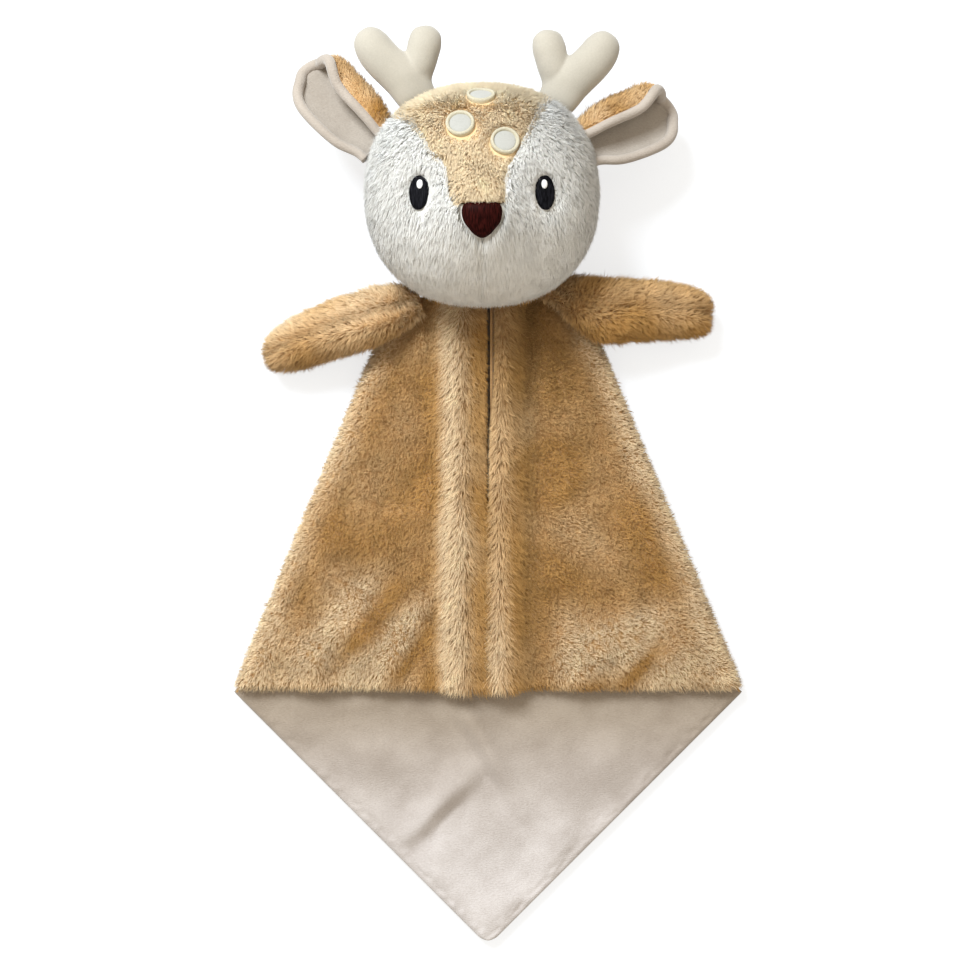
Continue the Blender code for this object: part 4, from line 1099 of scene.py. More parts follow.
    def _build_side(self, side: int, word: str) -> None:
        """Builds one folded side: its plush, its pile, its velour and the velour's bend in the crease."""
        front = self.front(side)
        roots = front.scatter(self.pile.density, 70 + side)
        rolled = np.abs(roots.places[:, 0]) < self.roll_edges[int(side > 0)] + 12 * MM
        lie, tall = self.front_lie(side), self.front_tall(side)
        grown = [
            self.pile.grow(f"side_{word}_{part}_pile", roots.only(kept), lie, tall, self.front_tint)
            for part, kept in (("roll", rolled), ("field", ~rolled))
        ]
        cloth = front.cloth(f"side_{word}_cloth", CARAMEL_CLOTH, self.cloth)
        face = self.front_velour(side)
        velour = face.cloth(f"side_{word}_velour", CREAM_VELOUR, self.velour * 0.8)
        give_tint(velour, self.velour_tint)
        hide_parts(f"yoke_{word}_plush", f"flap_{word}_plush")
        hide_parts(f"yoke_{word}_lining", f"flap_{word}_lining")
        apex = np.array((0, self.apex, self.fold_height))
        crease = np.array((side * math.sin(self.fold_angle), -math.cos(self.fold_angle), 0))
        for piece in (*grown, cloth, velour):
            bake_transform(piece)
        bend = self._build_bend(side, word, apex, crease)
        area = self._half_area(self.hem, self.top)
        size = (self.half_width(self.hem).item(), self.top - self.hem)
        log.info("side_%s: %d fibres", word, len(roots.places))

    def _build_bend(self, side: int, word: str, apex: Array, crease: Array) -> Piece:
        """Builds the velour's bend inside a crease.

        It is a flat oval tube along the crease.

        Args:
            side: -1 for the viewer's left, 1 for the right.
            word: the side's name in the pieces' names.
            apex: where both creases would meet, at the folded height.
            crease: the crease's unit direction, down from the apex.

        Returns:
            The bend's piece.
        """
        inward = np.array((-side * math.cos(self.fold_angle), -math.sin(self.fold_angle), 0))
        run = np.linspace(self.blend_from + 18 * MM, self.side / math.cos(self.fold_angle) - 5 * MM, 90)
        middle = apex + run[:, None] * crease + inward * self.bend_in + UP * 0.2 * MM
        angle = full_turn(21)
        wide, high = self.bend_half
        ring = inward * np.cos(angle)[:, None] * wide + UP * np.sin(angle)[:, None] * high
        surface = closed_tube(middle, ring[None]).outward(middle.mean(axis=0))
        bend = surface.cloth(f"side_{word}_bend", CREAM_VELOUR, 0)
        give_tint(bend, self.velour_tint)
        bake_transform(bend)
        return bend


# Head

@dataclass(frozen=True)
class HeadForm:
    """The stuffed head's shape: a soft ball, flatter than it is wide, with a muzzle and eye hollows."""

    middle: Triple = (-3 * MM, 147.5 * MM, 39 * MM)
    half: Triple = (54.5 * MM, 50.5 * MM, 41 * MM)
    squareness: float = 2.3
    muzzle_height: float = 9 * MM
    muzzle_spread: float = 27 * DEG
    muzzle_tilt: float = -18 * DEG
    eye_dent: float = 2 * MM
    eye_spread: float = 16 * DEG
    eye_side: float = 36 * DEG
    eye_rise: float = -4 * DEG
    rest: float = 0.6 * MM

    def reach(self, ways: Array) -> Array:
        """The distance from the middle to the pile's tips along unit directions."""
        power = self.squareness
        ball = (np.abs(ways / np.array(self.half)) ** power).sum(axis=-1) ** (-1 / power)
        muzzle = np.array((0, math.sin(self.muzzle_tilt), math.cos(self.muzzle_tilt)))
        turn = np.arccos(np.clip(ways @ muzzle, -1, 1))
        ball = ball + self.muzzle_height * bell(turn, self.muzzle_spread)
        for side in (-1, 1):
            socket = (side * math.sin(self.eye_side), math.sin(self.eye_rise), math.cos(self.eye_side))
            turn = np.arccos(np.clip(ways @ unit(np.array(socket)), -1, 1))
            ball = ball - self.eye_dent * bell(turn, self.eye_spread)
        return ball

    def point(self, ways: Array, lift: float = 0) -> Array:
        """Points over the head along directions from its middle, flattened where it rests on the table."""
        ways = unit(np.asarray(ways, float))
        points = np.array(self.middle) + ways * (self.reach(ways) + lift)[..., None]
        points[..., 2] = np.maximum(points[..., 2], self.rest - min(lift, 0))
        return points

    def front_way(self, x: float, y: float) -> Array:
        """The direction from the middle to the front surface at a sideways and lengthwise offset."""
        low, high = 0.0, 2 * self.half[2]
        for _ in range(40):
            z = (low + high) / 2
            offset = np.array((x, y, z))
            if np.linalg.norm(offset) < self.reach(unit(offset)):
                low = z
            else:
                high = z
        return unit(np.array((x, y, low)))

    def normal(self, way: Array) -> Array:
        """The outward normal along a direction."""
        first = unit(np.cross(way, (0.3, 0.5, 0.8))) * MM
        second = np.cross(way, first)
        point = self.point(way)
        return unit(np.cross(self.point(way + first) - point, self.point(way + second) - point))


HEAD = HeadForm()


@dataclass
class Patch:
    """A piece of embroidery on the head: a domed form that stands in the pile.

    outline gives (x, y) by angle on the plane that touches the head at its centre.
    """

    name: str
    node: str
    way: Array
    outline: Outline
    finish: Finish
    top: float
    dome: float
    hollow: float = 0
    ribs: int = 0
    rib_height: float = 0.05 * MM
    depth: float = 4.5 * MM
    rings: int = 14
    segments: int = 96

    def __post_init__(self) -> None:
        """Works out the touching plane's directions."""
        self.normal = unit(self.way)
        self.across = unit(np.cross((0, 1, 0), self.normal))
        self.rise = np.cross(self.normal, self.across)
        self.centre = HEAD.point(self.way)

    def surface(self) -> Surface:
        """The closed form: over its dome from the middle, down its side and back under it to the middle."""
        angles = full_turn(self.segments + 1)
        x, y = self.outline(angles)
        start = self.hollow
        shares = start + (1 - start) * np.sin(np.linspace(0, math.pi / 2, self.rings))
        if start:
            bow = np.sqrt(np.maximum(1 - ((shares - start) / (1 - start) * 2 - 1) ** 2, 0))
        else:
            bow = np.sqrt(np.maximum(1 - shares ** 4, 0))
        lifts = self.top - self.dome + self.dome * bow
        shares = np.concatenate([[start], shares, [1.0, 1.0, start]])
        first = -self.depth if start else lifts[0]
        lifts = np.concatenate([[first], lifts, [-self.depth / 2, -self.depth, -self.depth]])
        ribs = np.cos(self.ribs * angles) * self.rib_height if self.ribs else angles * 0
        rays = self.centre - np.array(HEAD.middle)
        flat = rays + (self.across * x[:, None] + self.rise * y[:, None])[None] * shares[:, None, None]
        ways = unit(flat)
        lift = lifts[:, None] + ribs[None] * bell(np.linspace(-1, 1, len(shares)), 0.8)[:, None]
        points = np.array(HEAD.middle) + ways * (HEAD.reach(ways) + lift)[..., None]
        return Surface(points).outward(self.centre - self.normal * 2 * MM)

    def gap(self, places: Array) -> Array:
        """How far places are outside the outline, about; negative inside it."""
        offset = places - self.centre
        x, y = offset @ self.across, offset @ self.rise
        reach = np.hypot(x, y)
        edge = np.hypot(*self.outline(np.arctan2(y, x)))
        near = np.abs(offset @ self.normal) < 14 * MM
        return np.where(near, reach - edge, 1.0)

    def build(self) -> Piece:
        """Makes the piece, riding on the head."""
        made = self.surface().cloth(self.name, self.finish, 0)
        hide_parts(self.node)
        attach(made, "head")
        return made


def nearest_gap(patches: Sequence[Patch], places: Array) -> Array:
    """How far places are outside the nearest of some patches; negative inside it."""
    return np.min([patch.gap(places) for patch in patches], axis=0)


def oval(half_width: float, half_height: float) -> Outline:
    """An oval outline by the direction angle."""

    def outline(angle: Array) -> Tuple[Array, Array]:
        """The point of the oval along a direction."""
        reach = 1 / np.sqrt((np.cos(angle) / half_width) ** 2 + (np.sin(angle) / half_height) ** 2)
        return reach * np.cos(angle), reach * np.sin(angle)

    return outline


def nose_outline(angle: Array) -> Tuple[Array, Array]:
    """A rounded triangle, nearly straight above and narrow below."""
    reach = through(
        ((-0.001, 9.0 * MM), (0.5, 10.6 * MM), (0.72, 10.6 * MM), (1.1, 8.4 * MM), (1.571, 7.6 * MM),
         (2.04, 8.4 * MM), (2.42, 10.6 * MM), (2.64, 10.6 * MM), (3.142, 9.0 * MM), (3.75, 7.6 * MM),
         (4.3, 8.2 * MM), (4.712, 9.0 * MM), (5.12, 8.2 * MM), (5.67, 7.6 * MM), (6.2832, 9.0 * MM)),
        np.mod(np.ravel(angle), 2 * math.pi),
    ).reshape(np.shape(angle))
    return reach * np.cos(angle), reach * np.sin(angle)


@dataclass
class Head:
    """The head: a caramel blaze, two white cheeks, two caramel back panels and the embroidery of its face."""

    inset: float = 3.2 * MM
    cloth: float = 1 * MM
    seam_height: float = 31 * MM
    blaze_left: Keys = (
        (0.24, -0.235), (0.285, -0.02), (0.315, 0.14), (0.36, 0.23), (0.45, 0.3), (0.5, 0.44), (0.6, 0.58),
        (0.74, 0.68), (0.8, 0.84), (0.86, 1.3),
    )
    blaze_right: Keys = (
        (0.19, -0.235), (0.19, 0), (0.235, 0.14), (0.31, 0.28), (0.395, 0.48), (0.485, 0.69), (0.56, 0.8),
        (0.66, 0.95), (0.75, 1.3),
    )
    neck_place: Tuple[float, float] = (-3 * MM, 114 * MM)
    neck_radius: float = 27.4 * MM
    neck_top: float = 23.3 * MM
    neck_foot: float = 101 * MM
    seam_dent: float = 0.8 * MM
    seam_width: float = 1.8 * MM
    eye_place: Tuple[float, float] = (29.4 * MM, -4.5 * MM)
    eye_half: Tuple[float, float] = (4.5 * MM, 8 * MM)
    glint_place: Tuple[float, float] = (28.2 * MM, -0.9 * MM)
    glint_half: Tuple[float, float] = (1.4 * MM, 2.1 * MM)
    nose_place: Tuple[float, float] = (0, -18.7 * MM)
    spots: Tuple[Tuple[float, float], ...] = (
        (-10.1 * MM, 27.8 * MM), (10.6 * MM, 18.9 * MM), (-0.5 * MM, 43.7 * MM),
    )
    spot_radius: float = 6.8 * MM
    spot_ring: float = 1.7 * MM
    white_pile: Pile = Pile(
        WHITE_PILE, 4.8 * MM, 0.26 * MM, 7.4e6, seed=101, stray=0.14, uneven=0.1,
        tufts=((1.6 * MM, 0.06), (5 * MM, 0.07), (14 * MM, 0.1)), soft=0.97,
    )
    blaze_pile: Pile = Pile(
        BLAZE_PILE, 4.3 * MM, 0.25 * MM, 8.6e6, seed=121, stray=0.14, uneven=0.1,
        tufts=((1.6 * MM, 0.07), (5 * MM, 0.08), (12 * MM, 0.12)), soft=0.96,
    )
    back_pile: Pile = Pile(CARAMEL_PILE, 4.2 * MM, 0.48 * MM, 2.2e6, seed=141, soft=0.8)

    def blaze_half(self, side: int, y: Array) -> Array:
        """How far the blaze reaches to one side, at a height over the head's middle."""
        table = np.array(self.blaze_left if side < 0 else self.blaze_right)
        width = np.interp(y / HEAD.half[1], table[:, 1], table[:, 0]) * HEAD.half[0]
        return np.where(y < table[0, 1] * HEAD.half[1], 0.15 * MM, width)

    def _way(self, turn: Array, rise: Array) -> Array:
        """The direction at a turn round the head's length and a rise towards its crown."""
        level = np.cos(rise)
        return xyz(level * np.sin(turn), np.sin(rise), level * np.cos(turn))

    def _seam_turn(self, rise: Array) -> Array:
        """The turn at which the side seam lies, by rise; half a turn where the front covers the pole."""
        level = self.seam_height - HEAD.middle[2]
        turn = np.full_like(rise, math.pi / 2)
        for _ in range(12):
            reach = HEAD.reach(self._way(turn, rise)) * np.cos(rise)
            turn = np.arccos(np.clip(level / np.maximum(reach, 1e-6), -1, 1))
        return turn

    def _blaze_turn(self, side: int, rise: Array) -> Array:
        """The turn at which the blaze's edge lies, by rise: the side seam's turn where it is widest."""
        turn = np.full_like(rise, 0.3)
        ratio = turn
        for _ in range(12):
            reach = HEAD.reach(self._way(turn, rise))
            ratio = self.blaze_half(side, reach * np.sin(rise)) / np.maximum(reach * np.cos(rise), 1e-6)
            turn = np.arcsin(np.clip(ratio, 0, 1))
        return np.where(ratio >= 1, self._seam_turn(rise), turn)

    def _panel(self, rise: Array, low: Array, high: Array, columns: int) -> Surface:
        """A panel between two turns for each rise, drawn in along its edges by its seams."""
        share = np.linspace(0, 1, columns)
        turn = low[:, None] + (high - low)[:, None] * share
        ways = self._way(turn, rise[:, None])
        reach = HEAD.reach(ways)
        to_side = np.minimum(share, 1 - share)[None] * (high - low)[:, None] * reach
        seam = self.seam_dent * bell(to_side, self.seam_width)
        points = np.array(HEAD.middle) + ways * (reach - self.inset - seam)[..., None]
        points[..., 2] = np.maximum(points[..., 2], HEAD.rest + self.inset)
        return Surface(points).outward(np.array(HEAD.middle))

    def panels(self) -> Dict[str, Surface]:
        """The five panels' faces by name."""
        poles = 89.7 * DEG
        fine = np.linspace(-poles, poles, 400)
        heights = HEAD.reach(self._way(fine * 0, fine)) * np.sin(fine)
        foot = fine[self.blaze_half(1, heights) > 1 * MM].min()
        blaze_rise = np.linspace(foot, poles, 110)
        back_rise = np.linspace(-84 * DEG, 84 * DEG, 90)
        found = {"head_blaze": self._panel(
            blaze_rise, -self._blaze_turn(-1, blaze_rise), self._blaze_turn(1, blaze_rise), 90
        )}
        for side, word in SIDES:
            covered = fine[self._blaze_turn(side, fine) >= 90 * DEG]
            top = covered[covered > 0].min()
            low_rise = np.linspace(-poles, foot - 0.4 * DEG, 60)
            cheek_rise = np.concatenate([low_rise, np.linspace(foot, top, 70)])
            edge, seam = self._blaze_turn(side, cheek_rise), self._seam_turn(cheek_rise)
            found[f"head_cheek_{word}"] = self._panel(cheek_rise, side * edge, side * seam, 80)
            seam = np.minimum(self._seam_turn(back_rise), math.pi - 0.5 * DEG)
            middle = np.full_like(back_rise, side * (math.pi - 0.2 * DEG))
            back = self._panel(back_rise, side * seam, middle, 50)
            found[f"head_back_{word}"] = self._round_neck(back)
        return found

    def _round_neck(self, surface: Surface) -> Surface:
        """Opens a surface where the neck goes in, its edge drawn to the neck's round."""
        points = surface.points.copy()
        offset = points[..., :2] - np.array(self.neck_place)
        far = np.linalg.norm(offset, axis=-1)
        inside = (far < self.neck_radius) & (points[..., 2] < self.neck_top)
        kept = ~(inside[:-1, :-1] & inside[1:, :-1] & inside[1:, 1:] & inside[:-1, 1:])
        used = np.zeros(inside.shape, bool)
        for rows in (slice(None, -1), slice(1, None)):
            for columns in (slice(None, -1), slice(1, None)):
                used[rows, columns] |= kept
        pushed = inside & used
        round_edge = np.array(self.neck_place) + offset[pushed] / far[pushed][:, None] * self.neck_radius
        round_edge[:, 1] = np.maximum(round_edge[:, 1], self.neck_foot)
        points[..., :2][pushed] = round_edge
        return Surface(points, kept)

    def patches(self) -> List[Patch]:
        """The embroidery: eyes with their glints, the nose and the ringed spots."""
        found = []
        for side, word in SIDES:
            eye = HEAD.front_way(side * self.eye_place[0], self.eye_place[1])
            found.append(Patch(
                f"eye_{word}_stitching", f"eye_{word}", eye, oval(*self.eye_half),
                BLACK_THREAD, top=-0.6 * MM, dome=1.3 * MM,
            ))
            glint = HEAD.front_way(side * self.glint_place[0], self.glint_place[1])
            found.append(Patch(
                f"glint_{word}_stitching", f"eye_{word}_glint", glint, oval(*self.glint_half),
                WHITE_THREAD, top=-0.1 * MM, dome=0.6 * MM, depth=1.2 * MM, rings=6, segments=32,
            ))
        nose = HEAD.front_way(*self.nose_place)
        found.append(Patch(
            "nose_stitching", "nose", nose, nose_outline, BROWN_THREAD,
            top=0.9 * MM, dome=2.2 * MM,
        ))
        outer, inner = self.spot_radius, self.spot_radius - self.spot_ring
        for number, (x, y) in enumerate(self.spots, 1):
            way = HEAD.front_way(x, y)
            found.append(Patch(
                f"spot_{number}_disc", f"spot_{number}", way, oval(inner, inner),
                SPOT_VELOUR, top=-1.5 * MM, dome=0.5 * MM,
            ))
            found.append(Patch(
                f"spot_{number}_rim", f"spot_{number}_stitching", way, oval(outer, outer),
                IVORY_THREAD, top=-1.0 * MM, dome=0.8 * MM,
                hollow=inner / outer, ribs=64, segments=256,
            ))
        return found

    def build(self) -> None:
        """Builds the panels with their pile, and the embroidery."""
        patches = self.patches()
        for patch in patches:
            patch.build()
        nose = next(patch for patch in patches if patch.node == "nose")
        outlines = [patch for patch in patches if not patch.name.startswith("glint")]
        sunk = [patch for patch in outlines if patch is not nose]
        for name, surface in self.panels().items():
            white = "cheek" in name
            front = white or "blaze" in name
            pile = self.white_pile if white else (self.blaze_pile if front else self.back_pile)
            finish = WHITE_CLOTH if white else (BLAZE_CLOTH if front else CARAMEL_CLOTH)
            roots = surface.scatter(pile.density, 200 + len(name))
            roots = roots.only(nearest_gap(outlines, roots.places) > 0.2 * MM)
            lie = self._front_lie(nose) if front else brushed_to((0, -0.7, 0))
            grown = pile.grow(f"{name}_pile", roots, lie, self._tall(sunk, white))
            cloth = surface.cloth(f"{name}_cloth", finish, self.cloth)
            nodes = [name] + (["head_stuffing"] if name == "head_blaze" else [])
            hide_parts(*nodes)
            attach(cloth, "head")
            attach(grown, "head")
            log.info("%s: %d fibres", name, len(roots.places))

    def _front_lie(self, nose: Patch) -> RootField:
        """The face's pile is brushed down from the crown, and out from the nose over cheeks and chin."""

        def lie(roots: Roots) -> Array:
            """Which way the roots' fibres lean."""
            away = roots.places - nose.centre
            near = bell(np.linalg.norm(away, axis=1), 45 * MM)[:, None]
            below = 1 - ease(-14 * MM, 2 * MM, away[:, 1:2])
            down = np.array((0, -1.0, 0))
            flat = down * (1.1 + 0.2 * below) + unit(away) * near * below * 1.0
            return flat * (1 - 0.3 * bell(nose.gap(roots.places), 3 * MM) * (1 - below[:, 0]))[:, None]

        return lie

    def _tall(self, sunk: Sequence[Patch], white: bool) -> RootField:
        """The pile is pressed short beside the sunk embroidery, and longer on the chin and the cheeks."""

        def tall(roots: Roots) -> Array:
            """The roots' fibre length as a share of the pile's."""
            pressed = 0.4 + 0.6 * ease(0, 4.5 * MM, nearest_gap(sunk, roots.places))
            if not white:
                by_nose = 1 - ease(-8 * MM, -2 * MM, roots.places[:, 1] - HEAD.middle[1])
                return pressed + (1.05 - pressed) * by_nose
            chin = (HEAD.middle[0], HEAD.middle[1] - 24 * MM, HEAD.middle[2] + HEAD.half[2])
            far = np.linalg.norm(roots.places - chin, axis=1)
            return pressed * (1 + 0.3 * bell(far, 34 * MM))

        return tall


# Ears and antlers

def frame_at(place: Array, along: Array, up: Array) -> Array:
    """A 4x4 matrix with its X along one direction and its Z as near as it can be to another."""
    x_axis = unit(np.asarray(along, float))
    z_axis = unit(np.asarray(up, float) - x_axis * (np.asarray(up) @ x_axis))
    matrix = np.eye(4)
    matrix[:3, 0], matrix[:3, 1], matrix[:3, 2] = x_axis, np.cross(z_axis, x_axis), z_axis
    matrix[:3, 3] = place
    return matrix


def placed(matrix: Array, points: Array) -> Array:
    """Points moved by a 4x4 matrix."""
    return points @ matrix[:3, :3].T + matrix[:3, 3]


def tube(line: Array, radius: Array, around: int = 25) -> Surface:
    """A closed tube along a line, with a radius for each of the line's points."""
    ahead = unit(np.gradient(line, axis=0))
    sideways = [unit(np.cross(ahead[0], UP))]
    for way in ahead[1:]:
        last = sideways[-1]
        sideways.append(unit(last - way * (last @ way)))
    sideways = np.array(sideways)
    upward = np.cross(ahead, sideways)
    angle = full_turn(around)
    ring = sideways[:, None] * np.cos(angle)[:, None] + upward[:, None] * np.sin(angle)[:, None]
    made = closed_tube(line, ring * radius[:, None, None])
    looks = (made.normals()[1:-1, :-1] * ring[:, :-1]).sum()
    return made if looks > 0 else Surface(made.points[:, ::-1])


@dataclass
class Ear:
    """An ear: a petal of plush lined with velour, folded lengthwise, its upper edge rolled to the front."""

    side: int
    root: Triple
    way: Triple
    length: float = 49.5 * MM
    half_width: float = 15.5 * MM
    arc: float = 2.75
    lip: float = 46 * DEG
    sunk: float = 4 * MM
    rim: float = 2.1 * MM
    rim_tip: float = 2.7 * MM
    rim_rounds: int = 14
    velour: float = 1.3 * MM
    widths: Keys = ((0, 0.68), (0.2, 0.94), (0.45, 1.02), (0.7, 1), (0.84, 0.9), (0.94, 0.7), (1, 0.44))
    curls: Keys = ((0, 160), (0.55, 160), (0.8, 128), (1, 95))
    pile: Pile = Pile(
        CARAMEL_PILE, 3.4 * MM, 0.28 * MM, 6.6e6, seed=301,
        tufts=((1.6 * MM, 0.26), (5 * MM, 0.24), (12 * MM, 0.18)), soft=0.8,
    )

    def base(self, rows: int = 70, columns: int = 96) -> Tuple[Surface, Array]:
        """The ear's middle face, and each grid point's distance from its free edges.

        The section at each share of the length is a line of even steps whose direction turns: it rises at the
        lower lip, runs flat, and curls right over at the upper edge, less so towards the ear's tip.
        """
        along = -self.sunk + (self.length + self.sunk) * np.sin(np.linspace(0, math.pi / 2, rows))
        share = np.clip(along / self.length, 0, 1)
        half = self.half_width * through(self.widths, share)
        curl = through(self.curls, share) * DEG
        step = np.linspace(0, 1, columns)[None]
        turn = -self.lip * (1 - ease(0, 0.34, step)) + curl * ease(0.54, 0.9, step)
        pace = self.arc * half / (columns - 1)
        start = np.zeros((rows, 1))
        across = np.concatenate([start, np.cumsum(np.cos(turn[:, 1:]) * pace, axis=1)], axis=1) - half
        height = np.concatenate([start, np.cumsum(np.sin(turn[:, 1:]) * pace, axis=1)], axis=1)
        height -= height.min(axis=1, keepdims=True)
        short = 4.5 * MM * ease(0.4, 0.95, step) + 3 * MM * (1 - ease(0, 0.2, step))
        along = along[:, None] - short * ease(0.55, 1, share)[:, None]
        edge = np.minimum(np.minimum(step, 1 - step) * self.arc * half, self.length - short - along)
        points = xyz(along, across * self.side, height - 3 * MM)
        matrix = frame_at(HEAD.point(np.array(self.root)), self.way, UP)
        surface = Surface(placed(matrix, points))
        facing = surface.facing(matrix[:3, 2])
        if facing is not surface:
            edge = edge[:, ::-1]
        return facing, edge

    def rolled_edge(self, base: Surface) -> Surface:
        """The velour's roll round the free edges: up the lower lip, round the tip and back down the curl."""
        grid = base.points
        line = np.concatenate([grid[:, 0], grid[-1, 1:-1], grid[::-1, -1]])
        run = np.concatenate([[0], np.cumsum(np.linalg.norm(np.diff(line, axis=0), axis=1))])
        share = np.linspace(0, 1, 171)
        line = np.stack([np.interp(share * run[-1], run, line[:, axis]) for axis in range(3)], axis=1)
        for _ in range(self.rim_rounds):
            line[1:-1] = (line[:-2] + line[1:-1] * 2 + line[2:]) / 4
        thick = self.rim + (self.rim_tip - self.rim) * bell(share - 0.5, 0.28)
        return tube(line, thick)

    def build(self, word: str) -> None:
        """Builds the velour with its rolled edge, the plush and its pile, and hangs them on the ear's body.
        """
        base, edge = self.base()
        face = base.moved(self.velour * 0.75)
        velour = face.cloth(f"ear_{word}_velour", CREAM_VELOUR, self.velour)
        roll = self.rolled_edge(base).cloth(f"ear_{word}_rim", CREAM_VELOUR, 0)
        give_tint(velour, lambda places: np.array((1.0, 1.03, 1.03)))
        # Painted light: the rolled rim is made lighter than the same velour in the ear's hollow.
        give_tint(roll, lambda places: np.array((1.14, 1.17, 1.18)))
        behind_edge = edge[:, ::-1]
        inner = np.minimum(behind_edge[1:, 1:], behind_edge[:-1, :-1]) > self.rim * 0.5
        behind = Surface((base.points - base.normals() * 0.9 * MM)[:, ::-1], inner)
        cloth = behind.cloth(f"ear_{word}_cloth", CARAMEL_CLOTH, 0.5 * MM)
        roots = behind.scatter(self.pile.density, 310 + self.side)
        rows, columns = edge.shape
        cell = np.round(roots.shares * (rows - 1, columns - 1)).astype(int)
        distance = behind_edge[cell[:, 0], cell[:, 1]]
        kept = distance > self.rim * 1.05
        roots = roots.only(kept)
        distance = distance[kept]
        lie = brushed_to(unit(np.array(self.way)) * 0.8)
        lengths = 0.55 + 0.45 * ease(self.rim, self.rim * 4, distance)

        def tint(found: Roots) -> Array:
            """The ear's pile is a little paler than the body's."""
            return creamed(0.3 + Waves(12 * MM, 303, 0.12).at(found.places))

        grown = self.pile.grow(f"ear_{word}_pile", roots, lie, lambda found: lengths, tint)
        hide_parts(f"ear_{word}_lining")
        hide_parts(f"ear_{word}_plush")
        for piece in (velour, roll, cloth, grown):
            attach(piece, f"ear_{word}")
        log.info("ear_%s: %d fibres", word, len(roots.places))


@dataclass
class Antler:
    """A stuffed velour antler: an outer prong and a shorter inner one, with a seam round both."""

    side: int
    root: Triple
    turn: float
    height: float = 39 * MM
    outer: Keys = (
        (0, 0, 0.19, 0.03), (0, 0.035, 0.21, 0.1), (0.005, 0.1, 0.225, 0.15), (0.04, 0.22, 0.24, 0.185),
        (0.1, 0.37, 0.235, 0.2), (0.17, 0.53, 0.225, 0.21), (0.215, 0.68, 0.22, 0.205),
        (0.23, 0.81, 0.205, 0.185), (0.225, 0.91, 0.16, 0.145), (0.22, 0.97, 0.09, 0.08), (0.22, 1, 0, 0),
    )
    inner: Keys = (
        (-0.06, 0.17, 0.13, 0.11), (-0.15, 0.3, 0.175, 0.165), (-0.24, 0.43, 0.19, 0.185),
        (-0.32, 0.545, 0.195, 0.185), (-0.38, 0.65, 0.165, 0.15), (-0.41, 0.7, 0.1, 0.09),
        (-0.425, 0.73, 0, 0),
    )
    sink: float = 4.5 * MM
    voxel: float = 0.75 * MM
    fuller: float = 1.06

    def __post_init__(self) -> None:
        """Works out how far the root stands off the head, so that its turned foot clears it."""
        self.lift = -0.1 * MM + abs(math.sin(self.turn)) * self.outer[0][2] * self.height

    def _prong(self, keys: Keys) -> Surface:
        """One prong as a closed tube along its keys of sideways, up, half width and half depth."""
        table = np.array(keys) * self.height
        knots = np.linspace(0, 1, len(keys))
        fine = np.linspace(0, 1, 48)
        line = through(np.column_stack([knots, table]), fine)
        centre = xyz(self.side * line[:, 0], line[:, 1], 0)
        ahead = unit(np.gradient(centre, axis=0))
        sideways = xyz(-ahead[:, 1], ahead[:, 0], 0)
        angle = full_turn(41)
        wide, deep = np.maximum(line[:, 2:4], 0).T[:, :, None, None]
        ring = sideways[:, None] * np.cos(angle)[None, :, None] * wide
        ring = ring + UP * np.sin(angle)[None, :, None] * deep
        return closed_tube(centre, ring).outward(centre.mean(axis=0))

    def build(self, word: str) -> None:
        """Fuses both prongs into one smooth stuffed form, and presses its seam in."""
        root = np.array(self.root)
        normal = HEAD.normal(unit(root))
        upright = frame_at(HEAD.point(root) + normal * self.lift, normal, UP)
        cosine, sine = math.cos(self.turn - math.pi / 2), math.sin(self.turn - math.pi / 2)
        turned = np.eye(4)
        turned[:2, :2] = ((cosine, -sine), (sine, cosine))
        matrix = upright @ turned
        rough = [self._prong(keys).cloth(f"prong_{word}_{number}", ANTLER_VELOUR, 0)
                 for number, keys in enumerate((self.outer, self.inner))]
        vertices, faces = fused(rough, self.voxel)
        vertices[:, 2] *= self.fuller
        vertices[:, 0] *= self.fuller
        seam = 0.55 * MM * bell(vertices[:, 2], 0.9 * MM)
        vertices[:, 1] -= self.sink * (1 - ease(0, 8 * MM, vertices[:, 1]))
        skin = placed(matrix, vertices)
        made = piece_from(f"antler_{word}_velour", skin, faces, ANTLER_VELOUR)
        mesh = made.data
        normals = np.empty(len(mesh.vertices) * 3, np.float32)
        mesh.vertices.foreach_get("normal", normals)
        points = skin - normals.reshape(-1, 3) * seam[:, None]
        mesh.vertices.foreach_set("co", points.astype(np.float32).ravel())
        mesh.update()
        for panel in ("front", "back", "stuffing"):
            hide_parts(f"antler_{word}_{panel}")
        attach(made, f"antler_{word}")
        log.info("antler_%s: %d faces", word, len(mesh.polygons))


def fused(parts: Sequence[Piece], voxel: float) -> Tuple[Array, Faces]:
    """Joins closed forms into one smooth skin.

    Args:
        parts: the forms, which are used up.
        voxel: the skin's grain.

    Returns:
        The skin's vertices and faces.
    """
    vertices, faces = [], []
    for part in parts:
        start = sum(len(found) for found in vertices)
        vertices.append(np.array([tuple(vertex.co) for vertex in part.data.vertices]))
        faces += [[index + start for index in face.vertices] for face in part.data.polygons]
        bpy.data.objects.remove(part)
    mesh = bpy.data.meshes.new("rough_form")
    mesh.from_pydata(np.concatenate(vertices).tolist(), [], faces)
    rough = added("rough_form", mesh)
    skin = rough.modifiers.new("skin", "REMESH")
    skin.mode = "VOXEL"
    skin.voxel_size = voxel
    relax = rough.modifiers.new("relax", "SMOOTH")
    relax.factor = 0.6
    relax.iterations = 5
    ready = rough.evaluated_get(bpy.context.evaluated_depsgraph_get()).to_mesh()
    points = np.empty(len(ready.vertices) * 3)
    ready.vertices.foreach_get("co", points)
    found = [list(face.vertices) for face in ready.polygons]
    bpy.data.objects.remove(rough)
    return points.reshape(-1, 3), found


# Neck and arms

